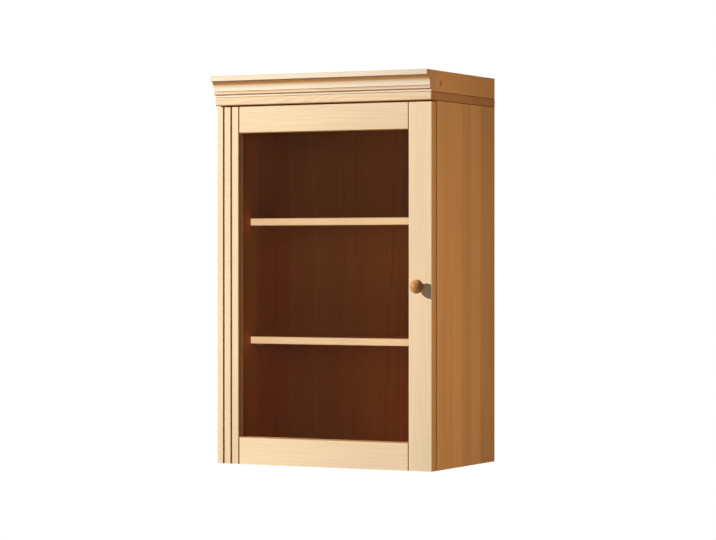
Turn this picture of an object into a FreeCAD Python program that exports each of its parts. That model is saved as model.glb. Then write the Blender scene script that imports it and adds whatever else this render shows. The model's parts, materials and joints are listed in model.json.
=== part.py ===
import FreeCAD, Part
import os
import re
import Sketcher
from FreeCAD import Placement, Rotation, Vector

# Wall display cabinet in pine: a carcass with two loose shelves on pins, a glazed
# frame door hung on pivots at its left edge, and a moulded cornice.
# The frame: X to the right, Y towards the wall, Z up. The origin lies on the wall
# plane, midway between the two wall screws, so the cabinet stands at negative Y.

# Driving sizes in millimetres; counts and shares are named as such.
SIZES = {
    # Carcass
    "cabinet_width": 510,
    "side_height": 762,
    "carcass_depth": 290,
    "panel_thickness": 18,
    "back_thickness": 4,
    "back_groove_depth": 6,
    "back_side_play": 0.5,
    "back_face_play": 0.1,
    "rail_thickness": 16,
    "hanging_rail_height": 80,
    "lower_rail_height": 60,
    "wall_screw_spacing": 320,
    "wall_screw_radius": 3,
    "board_ease": 1,
    "overrun": 2,
    # Top panel and cornice
    "top_overhang": 6,
    "top_edge_round": 4,
    "cornice_projection": 27,
    "moulding_depth": 45,
    "fascia_height": 11,
    "fascia_return": 6,
    "fascia_round": 1.2,
    "cove_drop": 2,
    "cove_height": 18.5,
    "cove_run": 9,
    "cove_round_share": 0.865,
    "quirk_depth": 2.5,
    "quirk_height": 2,
    "bead_height": 5.5,
    "bead_swell_share": 0.53,
    "undercut_height": 5,
    "undercut_depth": 3.5,
    "corner_block_leg": 30,
    "corner_block_drop": 8,
    # Dowels
    "dowel_radius": 4,
    "dowel_length": 35,
    "dowel_play": 0.05,
    "dowel_end_play": 0.5,
    "dowel_end_wood": 6,
    "dowel_inset": 40,
    "cornice_dowel_inset": 95,
    "moulding_dowel_spacing": 150,
    "rail_dowel_inset": 18,
    # Shelves on pins
    "shelf_thickness": 16,
    "shelf_setback": 93,
    "shelf_end_play": 1,
    "shelf_edge_round": 3,
    "lower_shelf_rise": 268,
    "pin_pitch": 32,
    "shelf_step_count": 8,
    "pin_row_inset": 37,
    "pin_radius": 2.5,
    "pin_play": 0.05,
    "pin_hole_depth": 9,
    "pin_reach": 9,
    "seat_play": 0.05,
    # Door frame
    "door_gap": 2,
    "door_side_inset": 1.5,
    "door_top_gap": 3,
    "stile_width": 53,
    "top_rail_width": 56,
    "bottom_rail_width": 58,
    "edge_round": 2,
    "arris": 1.7,
    "first_flute_inset": 16,
    "flute_pitch": 18.4,
    "flute_width": 4.4,
    "flute_depth": 3.4,
    "lip_thickness": 12,
    "rebate_width": 9,
    "tenon_length": 28,
    "tenon_thickness": 6,
    "tenon_front_wood": 5,
    "tenon_shoulder": 9,
    "haunch_wood": 1.4,
    "joint_play": 0.05,
    # Glass and beads
    "glass_thickness": 4,
    "glass_edge_play": 1,
    "bead_thickness": 4,
    "bead_round_share": 0.625,
    "bead_play": 0.1,
    # Knob
    "knob_projection": 31,
    "knob_radius": 14.5,
    "knob_neck_radius": 7.5,
    "knob_base_radius": 9,
    "knob_neck_curve": 18,
    "knob_screw_radius": 2,
    "knob_screw_bite": 14,
    "knob_screw_play": 0.1,
    "screw_head_radius": 4,
    "screw_head_height": 2.6,
    # Pivot hinges
    "pivot_edge_inset": 6,
    "pivot_front_inset": 7,
    "pivot_pin_radius": 2,
    "pivot_play": 0.05,
    "pivot_pin_bite": 9,
    "pivot_wood_play": 0.4,
    "plate_thickness": 2.5,
    "nose_radius": 4.5,
    "neck_width": 7,
    "foot_width": 12,
    "foot_length": 40,
    "foot_screw_inset": 9,
    "strap_width": 10,
    "strap_end_wood": 1,
    "strap_set": 1,
    "plate_play": 0.1,
    "notch_play": 0.5,
    "washer_thickness": 1,
    "washer_play": 0.05,
    "plate_screw_radius": 1.6,
    "plate_screw_head_radius": 3,
    "screw_end_wood": 3,
    "strap_screw_first": 13,
    "strap_screw_last": 8,
    "screw_play": 0.05,
    # Magnetic catch
    "catch_width": 14,
    "catch_height": 40,
    "catch_depth": 26,
    "catch_round": 2,
    "catch_drop": 140,
    "magnet_width": 9,
    "magnet_height": 24,
    "magnet_depth": 12,
    "magnet_play": 0.05,
    "catch_screw_spacing": 30,
    "catch_end_wood": 6,
    "strike_play": 0.5,
    "strike_height": 36,
    "strike_width": 12,
    "strike_end_wood": 7.5,
    # Door bumpers
    "bumper_radius": 4,
    "bumper_play": 0.3,
    "bumper_inset": 30,
}

# Named places, each written in the sizes above.
PLACES = {
    "half_width": "cabinet_width / 2",
    "hang_drop": "hanging_rail_height / 2",
    "left_outer": "-half_width",
    "left_inner": "panel_thickness - half_width",
    "right_inner": "half_width - panel_thickness",
    "right_outer": "half_width",
    "carcass_front": "-carcass_depth",
    "carcass_top": "hang_drop",
    "carcass_bottom": "hang_drop - side_height",
    "inside_bottom": "carcass_bottom + panel_thickness",
    "back_front": "-(rail_thickness + back_thickness)",
    "rail_front": "-rail_thickness",
    "rail_middle": "-rail_thickness / 2",
    "lower_rail_middle": "carcass_bottom + lower_rail_height / 2",
    "top_upper": "carcass_top + panel_thickness",
    "bead_low": "undercut_height",
    "bead_high": "bead_low + bead_height",
    "bead_radius": "bead_height * bead_swell_share",
    "cove_low": "bead_high + quirk_height",
    "cove_high": "cove_low + cove_height",
    "cove_radius": "cove_height * cove_round_share",
    "fascia_low": "cove_high + cove_drop",
    "cornice_height": "fascia_low + fascia_height",
    "cornice_top": "top_upper + cornice_height",
    "cove_foot": "fascia_return + cove_run",
    "bead_face": "cove_foot + quirk_depth",
    "undercut_face": "bead_face + undercut_depth",
    "cornice_front": "door_front - cornice_projection",
    "moulding_back": "cornice_front + moulding_depth",
    "moulding_dowel_line": "(top_front + moulding_back) / 2",
    "top_front": "door_front - top_overhang",
    "door_thickness": "lip_thickness + glass_thickness + bead_thickness",
    "door_back": "-(carcass_depth + door_gap)",
    "door_front": "door_back - door_thickness",
    "door_left": "door_side_inset - half_width",
    "door_right": "half_width - door_side_inset",
    "door_top": "carcass_top - door_top_gap",
    "door_bottom": "carcass_bottom",
    "door_height": "door_top - door_bottom",
    "door_middle": "(door_top + door_bottom) / 2",
    "opening_left": "door_left + stile_width",
    "opening_right": "door_right - stile_width",
    "opening_width": "opening_right - opening_left",
    "opening_bottom": "door_bottom + bottom_rail_width",
    "opening_top": "door_top - top_rail_width",
    "rebate_left": "opening_left - rebate_width",
    "rebate_right": "opening_right + rebate_width",
    "rebate_bottom": "opening_bottom - rebate_width",
    "rebate_top": "opening_top + rebate_width",
    "glass_front": "door_front + lip_thickness",
    "glass_back": "glass_front + glass_thickness",
    "bead_round": "bead_thickness * bead_round_share",
    "bead_width": "rebate_width - bead_play",
    "shelf_front": "carcass_front + shelf_setback",
    "shelf_depth": "back_front - shelf_end_play - shelf_front",
    "shelf_left": "left_inner + shelf_end_play",
    "shelf_width": "cabinet_width - 2 * (panel_thickness + shelf_end_play)",
    "lower_shelf_top": "carcass_bottom + lower_shelf_rise",
    "upper_shelf_top": "lower_shelf_top + shelf_step_count * pin_pitch",
    "pin_drop": "shelf_thickness + seat_play + pin_radius",
    "front_pin_row": "shelf_front + pin_row_inset",
    "rear_pin_row": "back_front - pin_row_inset",
    "dowel_hole": "dowel_radius + dowel_play",
    "panel_dowel_depth": "panel_thickness - dowel_end_wood",
    "panel_dowel_hole": "panel_dowel_depth + dowel_end_play",
    "long_dowel_depth": "dowel_length - panel_dowel_depth",
    "long_dowel_hole": "long_dowel_depth + dowel_end_play",
    "front_dowel": "carcass_front + dowel_inset",
    "rear_dowel": "back_front - dowel_inset",
    "middle_dowel": "(front_dowel + rear_dowel) / 2",
    "front_cornice_dowel": "carcass_front + cornice_dowel_inset",
    "rear_cornice_dowel": "-cornice_dowel_inset",
    "pivot_x": "door_left + pivot_edge_inset",
    "pivot_y": "door_front + pivot_front_inset",
    "pivot_hole": "pivot_pin_radius + pivot_play",
    "seat_level": "door_bottom + plate_thickness + washer_thickness + 2 * washer_play",
    "lower_door_plate_top": "seat_level + plate_thickness",
    "upper_door_plate_bottom": "door_top - plate_thickness",
    "tenon_haunch": "seat_level - door_bottom + plate_screw_length + haunch_wood",
    "foot_half": "foot_width / 2",
    "foot_run": "foot_start - pivot_y",
    "strap_front": "pivot_y - strap_set",
    "strap_line": "strap_front + strap_width / 2",
    "neck_half": "neck_width / 2",
    "plate_length": "stile_width - pivot_edge_inset - rebate_width - strap_end_wood",
    "plate_screw_bore": "plate_screw_radius + screw_play",
    "plate_screw_length": "panel_thickness - screw_end_wood",
    "foot_start": "carcass_front + plate_play",
    "catch_middle": "carcass_top - catch_drop",
    "catch_centre": "right_inner - catch_width / 2",
    "catch_screw_length": "catch_width + panel_thickness - catch_end_wood",
    "strike_thickness": "door_gap - strike_play",
    "strike_screw_length": "strike_thickness + door_thickness - strike_end_wood",
    "bumper_thickness": "door_gap - bumper_play",
    "knob_x": "door_right - stile_width / 2",
    "knob_widest_height": "knob_projection - knob_radius",
    "knob_flare": "knob_radius - knob_neck_radius",
    "knob_neck_height": "knob_widest_height - knob_flare",
}

QUARTER_TURN = 90
HALF_TURN = 180
SAME_PLACE_SHARE = 1e-6

doc = FreeCAD.newDocument("wall_display_cabinet")
sheet = doc.addObject("Spreadsheet::Sheet", "sizes")
for row, (alias, size) in enumerate(SIZES.items(), start=1):
    sheet.set("A%d" % row, alias)
    sheet.set("B%d" % row, str(size))
    sheet.setAlias("B%d" % row, alias)
doc.recompute()

WORD = re.compile(r"[a-z][a-z_]*")
TURNS = {
    "x": Rotation(Vector(0, 1, 0), QUARTER_TURN),
    "y": Rotation(Vector(1, 0, 0), -QUARTER_TURN),
    "z": Rotation(),
}
pieces = {}


def formula(text):
    """Spell a formula out until it names only cells of the sheet."""

    def spell(match):
        word = match.group(0)
        if word in PLACES:
            return "(" + formula(PLACES[word]) + ")"
        return "sizes." + word

    return WORD.sub(spell, text)


def bind(item, path, text):
    """Tie a property of an object to a formula."""
    item.setExpression(path, formula(text))


def place(item, x, y, z):
    """Tie an object's position to three formulas."""
    for axis, text in zip("xyz", (x, y, z)):
        bind(item, "Placement.Base." + axis, text)


def amount(text):
    """The present value of a formula, for the first draft of a sketch."""
    return float(sheet.evalExpression(formula(text)))


def keep(item, name):
    """Make an object a piece of the cabinet under its own name."""
    item.Label = name
    pieces[name] = item
    return item


def block(name, x, y, z):
    """A box between two planes each way, each pair given low and high."""
    box = doc.addObject("Part::Box", name)
    for side, (low, high) in zip(("Length", "Width", "Height"), (x, y, z)):
        bind(box, side, "(%s) - (%s)" % (high, low))
    place(box, x[0], y[0], z[0])
    return box


def rod(name, along, radius, start, length):
    """A cylinder that runs from its start along X, Y or Z."""
    cylinder = doc.addObject("Part::Cylinder", name)
    cylinder.Placement = Placement(Vector(), TURNS[along])
    bind(cylinder, "Radius", radius)
    bind(cylinder, "Height", length)
    place(cylinder, *start)
    return cylinder


def group(name, members, kind="Part::Compound"):
    """Several solids held as one object."""
    whole = doc.addObject(kind, name)
    if kind == "Part::Compound":
        whole.Links = members
    else:
        whole.Shapes = members
    return whole


def carve(name, base, tools):
    """Cut a list of tools out of a solid."""
    cutter = tools[0] if len(tools) == 1 else group(name + "_cutters", tools, "Part::MultiFuse")
    cut = doc.addObject("Part::Cut", name)
    cut.Base = base
    cut.Tool = cutter
    return cut


def body(name, x, y, z, turn=None):
    """An empty body whose position follows three formulas."""
    item = doc.addObject("PartDesign::Body", name)
    if turn:
        item.Placement = Placement(Vector(), turn)
    place(item, x, y, z)
    return item


def sketch(item, name, role, lift="0"):
    """A sketch on one of its body's origin planes, lifted along the normal."""
    drawing = item.newObject("Sketcher::SketchObject", name)
    base = next(part for part in item.Origin.OriginFeatures if part.Role == role)
    drawing.AttachmentSupport = (base, [""])
    drawing.MapMode = "FlatFace"
    if lift != "0":
        bind(drawing, "AttachmentOffset.Base.z", lift)
    return drawing


def fix_point(drawing, edge, end, u, v):
    """Hold a sketch point at two formulas, zero meaning on the axis."""
    for kind, axis, text in (("DistanceX", -2, u), ("DistanceY", -1, v)):
        if text == "0":
            drawing.addConstraint(Sketcher.Constraint("PointOnObject", edge, end, axis))
            continue
        number = drawing.addConstraint(Sketcher.Constraint(kind, -1, 1, edge, end, amount(text)))
        bind(drawing, "Constraints[%d]" % number, text)


def outline(drawing, corners, arcs=None):
    """A closed outline through its corners.

    An edge listed in arcs is an arc of the given radius that swells to the left (+1)
    or to the right (-1) of the way the outline runs.
    """
    arcs = arcs or {}
    spots = [Vector(amount(u), amount(v), 0) for u, v in corners]
    first = drawing.GeometryCount
    starts = []
    for number, spot in enumerate(spots):
        following = spots[(number + 1) % len(spots)]
        if number not in arcs:
            drawing.addGeometry(Part.LineSegment(spot, following))
            starts.append(1)
            continue
        radius, side = arcs[number]
        chord = following - spot
        half = chord.Length / 2
        reach = amount(radius)
        rise = reach - (reach * reach - half * half) ** 0.5
        normal = Vector(-chord.y, chord.x, 0).normalize()
        crown = (spot + following) / 2 + normal * (side * rise)
        drawing.addGeometry(Part.Arc(spot, crown, following))
        begin = drawing.getPoint(first + number, 1)
        starts.append(1 if begin.distanceToPoint(spot) < half else 2)
    for number in range(len(spots)):
        later = (number + 1) % len(spots)
        end = 3 - starts[number]
        drawing.addConstraint(
            Sketcher.Constraint("Coincident", first + number, end, first + later, starts[later])
        )
    for number, (u, v) in enumerate(corners):
        fix_point(drawing, first + number, starts[number], u, v)
    for number, (radius, _) in arcs.items():
        held = drawing.addConstraint(
            Sketcher.Constraint("Radius", first + number, amount(radius))
        )
        bind(drawing, "Constraints[%d]" % held, radius)


def circle(drawing, u, v, radius):
    """A circle held by its centre and radius."""
    centre = Vector(amount(u), amount(v), 0)
    number = drawing.addGeometry(Part.Circle(centre, Vector(0, 0, 1), amount(radius)))
    fix_point(drawing, number, 3, u, v)
    held = drawing.addConstraint(Sketcher.Constraint("Radius", number, amount(radius)))
    bind(drawing, "Constraints[%d]" % held, radius)


def rectangle(u_low, u_high, v_low, v_high):
    """The four corners of a rectangle, anticlockwise."""
    return [(u_low, v_low), (u_high, v_low), (u_high, v_high), (u_low, v_high)]


def extrude(item, drawing, length, kind="PartDesign::Pad", backwards=False):
    """Pad or pocket a sketch by a formula."""
    feature = item.newObject(kind, drawing.Name + "_feature")
    feature.Profile = drawing
    feature.Reversed = backwards
    bind(feature, "Length", length)
    return feature


def revolve(item, drawing):
    """Turn a sketch a full round about its own upright axis."""
    feature = item.newObject("PartDesign::Revolution", drawing.Name + "_feature")
    feature.Profile = drawing
    feature.ReferenceAxis = (drawing, ["V_Axis"])
    return feature


def soften(item, feature, lines, size, kind="PartDesign::Fillet"):
    """Round or bevel those edges of a feature that lie on given lines.

    Each line names the two axes that it crosses and the formula of its place on them.
    """
    doc.recompute()
    near = amount("panel_thickness") * SAME_PLACE_SHARE
    names = []
    for number, edge in enumerate(feature.Shape.Edges, start=1):
        box = edge.BoundBox
        for line in lines:
            ends = []
            for axis, text in line.items():
                ends.append(getattr(box, axis + "Min") - amount(text))
                ends.append(getattr(box, axis + "Max") - amount(text))
            if max(map(abs, ends)) < near:
                names.append("Edge%d" % number)
    softened = item.newObject(kind, feature.Name + "_softened")
    softened.Base = (feature, names)
    bind(softened, "Radius" if kind == "PartDesign::Fillet" else "Size", size)
    return softened


def plank(name, x, y, z, meetings):
    """A board between two planes each way, rounded where the named pairs of faces meet."""
    item = body(name, x[0], y[0], z[0])
    width, depth, height = ("(%s) - (%s)" % (high, low) for low, high in (x, y, z))
    drawing = sketch(item, name + "_plan", "XY_Plane")
    outline(drawing, rectangle("0", width, "0", depth))
    board = extrude(item, drawing, height)
    faces = {
        "left": ("X", "0"),
        "right": ("X", width),
        "front": ("Y", "0"),
        "rear": ("Y", depth),
        "low": ("Z", "0"),
        "high": ("Z", height),
    }
    lines = [dict((faces[one], faces[two])) for one, two in meetings]
    soften(item, board, lines, "board_ease")
    return item


def drill_side(name, hand, y, z, radius, depth):
    """A hole bored from the inner face of the left or the right side panel."""
    if hand == "left":
        return rod(name, "x", radius, ("left_inner - (%s)" % depth, y, z), depth + " + overrun")
    return rod(name, "x", radius, ("right_inner - overrun", y, z), depth + " + overrun")


def wood_screw(name, start, turn, length):
    """A countersunk wood screw, its head at the start, along the turned Z."""
    item = body(name, *start, turn=turn)
    drawing = sketch(item, name + "_profile", "XZ_Plane")
    outline(
        drawing,
        [
            ("0", "0"),
            ("plate_screw_head_radius", "0"),
            ("plate_screw_radius", "plate_screw_head_radius - plate_screw_radius"),
            ("plate_screw_radius", "(%s) - plate_screw_radius" % length),
            ("0", length),
        ],
    )
    revolve(item, drawing)
    return item


def screw_bore(name, start, turn, length):
    """The pilot hole and countersink of a wood screw, open by the screw's play."""
    item = body(name, *start, turn=turn)
    drawing = sketch(item, name + "_profile", "XZ_Plane")
    outline(
        drawing,
        [
            ("0", "0"),
            ("plate_screw_head_radius + screw_play", "0"),
            ("plate_screw_bore", "plate_screw_head_radius - plate_screw_radius"),
            ("plate_screw_bore", "(%s) + screw_play" % length),
            ("0", "(%s) + screw_play" % length),
        ],
    )
    revolve(item, drawing)
    return item


def strap_recess(name, low, high):
    """The room of a strap plate and of its nose between two levels."""
    return [
        block(
            name + "_strap_recess",
            ("pivot_x", "pivot_x + plate_length + plate_play"),
            ("strap_front - plate_play", "strap_front + strap_width + plate_play"),
            (low, high),
        ),
        block(
            name + "_nose_recess",
            ("pivot_x - nose_radius - plate_play", "pivot_x + nose_radius + plate_play"),
            ("pivot_y - nose_radius - plate_play", "pivot_y + nose_radius + plate_play"),
            (low, high),
        ),
    ]


UP = Rotation()
DOWN = Rotation(Vector(1, 0, 0), HALF_TURN)
RIGHTWARD = TURNS["x"]
FORWARD = Rotation(Vector(1, 0, 0), QUARTER_TURN)

SHELVES = {"upper": "upper_shelf_top", "lower": "lower_shelf_top"}
PIN_ROWS = {"front": "front_pin_row", "rear": "rear_pin_row"}
DOWEL_ROWS = {"front": "front_dowel", "middle": "middle_dowel", "rear": "rear_dowel"}
CORNICE_ROWS = {"front": "front_cornice_dowel", "rear": "rear_cornice_dowel"}
RAIL_LEVELS = {
    "hanging_high": "hanging_rail_height / 2 - rail_dowel_inset",
    "hanging_low": "rail_dowel_inset - hanging_rail_height / 2",
    "lower_high": "lower_rail_middle + lower_rail_height / 2 - rail_dowel_inset",
    "lower_low": "lower_rail_middle - lower_rail_height / 2 + rail_dowel_inset",
}
SIDE_PLANES = {"left": ("left_outer", "left_inner"), "right": ("right_inner", "right_outer")}
MOULDING_STEPS = {"left": "-moulding_dowel_spacing", "middle": "0", "right": "moulding_dowel_spacing"}
CATCH_LEVELS = {
    "high": "catch_middle + catch_screw_spacing / 2",
    "low": "catch_middle - catch_screw_spacing / 2",
}
FOOT_SCREWS = {
    "near": "foot_start + foot_screw_inset",
    "far": "foot_start + foot_length - foot_screw_inset",
}
STRAP_SCREWS = {
    "near": "pivot_x + strap_screw_first",
    "far": "pivot_x + plate_length - strap_screw_last",
}


# Side panels
def side_panel(hand):
    """One upright side: bored for pins and dowels, grooved for the back panel."""
    name = hand + "_side_panel"
    low, high = SIDE_PLANES[hand]
    middle = "(%s + %s) / 2" % (low, high)
    meetings = [("left", "front"), ("right", "front"), (hand, "low"), (hand, "rear"), (hand, "high")]
    levels = ("carcass_bottom", "carcass_top")
    board = plank(name + "_board", (low, high), ("carcass_front", "0"), levels, meetings)
    if hand == "left":
        groove_x = ("left_inner - back_groove_depth", "left_inner + overrun")
    else:
        groove_x = ("right_inner - overrun", "right_inner + back_groove_depth")
    tools = [
        block(
            name + "_groove",
            groove_x,
            ("back_front - back_face_play", "rail_front + back_face_play"),
            ("carcass_bottom - overrun", "carcass_top + overrun"),
        )
    ]
    for shelf, top in SHELVES.items():
        for row, y in PIN_ROWS.items():
            for step in (-1, 0, 1):
                level = "%s - pin_drop + %d * pin_pitch" % (top, step)
                hole = "%s_%s_%s_pin_hole_%d" % (name, shelf, row, step + 1)
                tools.append(drill_side(hole, hand, y, level, "pin_radius + pin_play", "pin_hole_depth"))
    for row, y in DOWEL_ROWS.items():
        level = "carcass_bottom + panel_thickness / 2"
        tools.append(drill_side(name + "_low_" + row, hand, y, level, "dowel_hole", "panel_dowel_hole"))
        start = (middle, y, "carcass_top - long_dowel_hole")
        tools.append(rod(name + "_top_" + row, "z", "dowel_hole", start, "long_dowel_hole + overrun"))
    for spot, level in RAIL_LEVELS.items():
        tools.append(drill_side(name + "_" + spot, hand, "rail_middle", level, "dowel_hole", "panel_dowel_hole"))
    if hand == "left":
        tools.append(
            block(
                name + "_foot_recess",
                ("pivot_x - foot_half - plate_play", "pivot_x + foot_half + plate_play"),
                ("carcass_front - overrun", "foot_start + foot_length + plate_play"),
                ("carcass_bottom - overrun", "carcass_bottom + plate_thickness + plate_play"),
            )
        )
        for spot, y in FOOT_SCREWS.items():
            start = ("pivot_x", y, "carcass_bottom")
            tools.append(screw_bore(name + "_foot_bore_" + spot, start, UP, "plate_screw_length"))
    else:
        for spot, level in CATCH_LEVELS.items():
            start = ("right_inner - catch_width", "carcass_front + catch_depth / 2", level)
            tools.append(screw_bore(name + "_catch_bore_" + spot, start, RIGHTWARD, "catch_screw_length"))
    keep(carve(name + "_cut", board, tools), name)


for side in SIDE_PLANES:
    side_panel(side)

# Top panel, rounded along its front edge, bevelled at its ends, bored and let in for a pivot plate
top = body("top_panel_board", "left_outer", "top_front", "carcass_top")
top_profile = sketch(top, "top_panel_profile", "YZ_Plane")
outline(
    top_profile,
    [
        ("top_edge_round", "0"),
        ("-(top_front)", "0"),
        ("-(top_front)", "panel_thickness"),
        ("top_edge_round", "panel_thickness"),
        ("0", "panel_thickness - top_edge_round"),
        ("0", "top_edge_round"),
    ],
    {3: ("top_edge_round", -1), 5: ("top_edge_round", -1)},
)
top_board = extrude(top, top_profile, "cabinet_width")
top_ends = []
for across in ("0", "cabinet_width"):
    for up in ("0", "panel_thickness"):
        top_ends.append({"X": across, "Z": up})
soften(top, top_board, top_ends, "board_ease", "PartDesign::Chamfer")
top_tools = strap_recess("top_panel", "carcass_top - overrun", "carcass_top + plate_thickness + plate_play")
for side, (low, high) in SIDE_PLANES.items():
    middle = "(%s + %s) / 2" % (low, high)
    for row, y in DOWEL_ROWS.items():
        start = (middle, y, "carcass_top - overrun")
        hole = "top_panel_%s_%s" % (side, row)
        top_tools.append(rod(hole, "z", "dowel_hole", start, "panel_dowel_hole + overrun"))
    for row, y in CORNICE_ROWS.items():
        start = (middle, y, "top_upper - panel_dowel_hole")
        hole = "top_panel_cornice_%s_%s" % (side, row)
        top_tools.append(rod(hole, "z", "dowel_hole", start, "panel_dowel_hole + overrun"))
for spot, x in MOULDING_STEPS.items():
    start = (x, "moulding_dowel_line", "top_upper - panel_dowel_hole")
    top_tools.append(
        rod("top_panel_moulding_" + spot, "z", "dowel_hole", start, "panel_dowel_hole + overrun")
    )
for spot, x in STRAP_SCREWS.items():
    start = (x, "strap_line", "carcass_top")
    top_tools.append(screw_bore("top_panel_bore_" + spot, start, UP, "plate_screw_length"))
keep(carve("top_panel_cut", top, top_tools), "top_panel")

# Bottom panel between the sides, held by dowels at both ends
floor = plank(
    "bottom_panel_board",
    ("left_inner", "right_inner"),
    ("carcass_front", "back_front"),
    ("carcass_bottom", "inside_bottom"),
    [("front", "low"), ("front", "high")],
)
floor_tools = []
for row, y in DOWEL_ROWS.items():
    level = "carcass_bottom + panel_thickness / 2"
    left_start = ("left_inner - overrun", y, level)
    right_start = ("right_inner - long_dowel_hole", y, level)
    for side, start in (("left", left_start), ("right", right_start)):
        hole = "bottom_panel_%s_%s" % (side, row)
        floor_tools.append(rod(hole, "x", "dowel_hole", start, "long_dowel_hole + overrun"))
keep(carve("bottom_panel_cut", floor, floor_tools), "bottom_panel")

# Back panel in the grooves, and the two rails behind it
WALL_SCREWS = {"left": "-wall_screw_spacing / 2", "right": "wall_screw_spacing / 2"}
back = block(
    "back_panel_board",
    ("left_inner - back_groove_depth + back_side_play", "right_inner + back_groove_depth - back_side_play"),
    ("back_front", "rail_front"),
    ("carcass_bottom", "carcass_top"),
)
back_tools = []
for side, x in WALL_SCREWS.items():
    start = (x, "back_front - overrun", "0")
    back_tools.append(
        rod("back_panel_hole_" + side, "y", "wall_screw_radius", start, "back_thickness + 2 * overrun")
    )
keep(carve("back_panel_cut", back, back_tools), "back_panel")


def wall_rail(name, low, high, levels, holes):
    """A rail against the wall, dowelled between the sides."""
    across = ("left_inner", "right_inner")
    board = plank(name + "_board", across, ("rail_front", "0"), (low, high), [("rear", "low"), ("rear", "high")])
    tools = []
    for spot in levels:
        left_start = ("left_inner - overrun", "rail_middle", RAIL_LEVELS[spot])
        right_start = ("right_inner - long_dowel_hole", "rail_middle", RAIL_LEVELS[spot])
        for hand, start in (("left", left_start), ("right", right_start)):
            hole = "%s_%s_%s" % (name, spot, hand)
            tools.append(rod(hole, "x", "dowel_hole", start, "long_dowel_hole + overrun"))
    for hand, x in holes.items():
        start = (x, "rail_front - overrun", "0")
        length = "rail_thickness + 2 * overrun"
        tools.append(rod("%s_screw_hole_%s" % (name, hand), "y", "wall_screw_radius", start, length))
    keep(carve(name + "_cut", board, tools), name)


wall_rail(
    "hanging_rail",
    "-hanging_rail_height / 2",
    "hanging_rail_height / 2",
    ("hanging_high", "hanging_low"),
    WALL_SCREWS,
)
wall_rail(
    "lower_rail",
    "carcass_bottom",
    "carcass_bottom + lower_rail_height",
    ("lower_high", "lower_low"),
    {},
)

# Dowels of the carcass: upright ones under the top, level ones into the bottom and rails
dowels = []
for side, (low, high) in SIDE_PLANES.items():
    middle = "(%s + %s) / 2" % (low, high)
    entry = "left_inner - panel_dowel_depth" if side == "left" else "right_inner - long_dowel_depth"
    for row, y in DOWEL_ROWS.items():
        start = (middle, y, "carcass_top - long_dowel_depth")
        dowels.append(rod("top_dowel_%s_%s" % (side, row), "z", "dowel_radius", start, "dowel_length"))
        start = (entry, y, "carcass_bottom + panel_thickness / 2")
        dowels.append(rod("floor_dowel_%s_%s" % (side, row), "x", "dowel_radius", start, "dowel_length"))
    for spot, level in RAIL_LEVELS.items():
        start = (entry, "rail_middle", level)
        dowels.append(rod("rail_dowel_%s_%s" % (side, spot), "x", "dowel_radius", start, "dowel_length"))
keep(group("carcass_dowel_set", dowels), "carcass_dowels")

# Cornice moulding: top fascia, cove, quirk and bead over an undercut
moulding = body("cornice_moulding_stick", "left_outer", "cornice_front", "top_upper")
moulding_profile = sketch(moulding, "cornice_profile", "YZ_Plane")
outline(
    moulding_profile,
    [
        ("moulding_depth", "0"),
        ("moulding_depth", "cornice_height"),
        ("fascia_round", "cornice_height"),
        ("0", "cornice_height - fascia_round"),
        ("0", "fascia_low + fascia_round"),
        ("fascia_round", "fascia_low"),
        ("fascia_return", "fascia_low"),
        ("fascia_return", "cove_high"),
        ("cove_foot", "cove_low"),
        ("bead_face", "cove_low"),
        ("bead_face", "bead_high"),
        ("bead_face", "bead_low"),
        ("undercut_face", "bead_low"),
        ("undercut_face", "0"),
    ],
    {
        2: ("fascia_round", -1),
        4: ("fascia_round", -1),
        7: ("cove_radius", 1),
        10: ("bead_radius", -1),
    },
)
extrude(moulding, moulding_profile, "cabinet_width")
moulding_tools = []
for spot, x in MOULDING_STEPS.items():
    start = (x, "moulding_dowel_line", "top_upper - overrun")
    moulding_tools.append(
        rod("moulding_hole_" + spot, "z", "dowel_hole", start, "long_dowel_hole + overrun")
    )
keep(carve("cornice_moulding_cut", moulding, moulding_tools), "cornice_moulding")

# Cornice side boards behind the moulding, their dowels and the glue blocks
cornice_dowels = []
for side, (low, high) in SIDE_PLANES.items():
    middle = "(%s + %s) / 2" % (low, high)
    board = plank(
        "cornice_side_%s_board" % side,
        (low, high),
        ("moulding_back", "0"),
        ("top_upper", "cornice_top"),
        [(side, "low"), (side, "high"), (side, "rear")],
    )
    side_tools = []
    for row, y in CORNICE_ROWS.items():
        start = (middle, y, "top_upper - overrun")
        hole = "cornice_side_%s_%s" % (side, row)
        side_tools.append(rod(hole, "z", "dowel_hole", start, "long_dowel_hole + overrun"))
        start = (middle, y, "top_upper - panel_dowel_depth")
        dowel = "cornice_dowel_%s_%s" % (side, row)
        cornice_dowels.append(rod(dowel, "z", "dowel_radius", start, "dowel_length"))
    keep(carve("cornice_side_%s_cut" % side, board, side_tools), "cornice_side_" + side)
for spot, x in MOULDING_STEPS.items():
    start = (x, "moulding_dowel_line", "top_upper - panel_dowel_depth")
    cornice_dowels.append(rod("moulding_dowel_" + spot, "z", "dowel_radius", start, "dowel_length"))
keep(group("cornice_dowel_set", cornice_dowels), "cornice_dowels")

corner_blocks = []
BLOCK_TURNS = {"left": Rotation(), "right": Rotation(Vector(0, 0, 1), QUARTER_TURN)}
for side, corner in (("left", "left_inner"), ("right", "right_inner")):
    item = body("corner_block_" + side, corner, "moulding_back", "top_upper", turn=BLOCK_TURNS[side])
    drawing = sketch(item, "corner_block_profile_" + side, "XY_Plane")
    outline(drawing, [("0", "0"), ("corner_block_leg", "0"), ("0", "corner_block_leg")])
    extrude(item, drawing, "cornice_height - corner_block_drop")
    corner_blocks.append(item)
keep(group("corner_block_set", corner_blocks), "cornice_corner_blocks")

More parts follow.
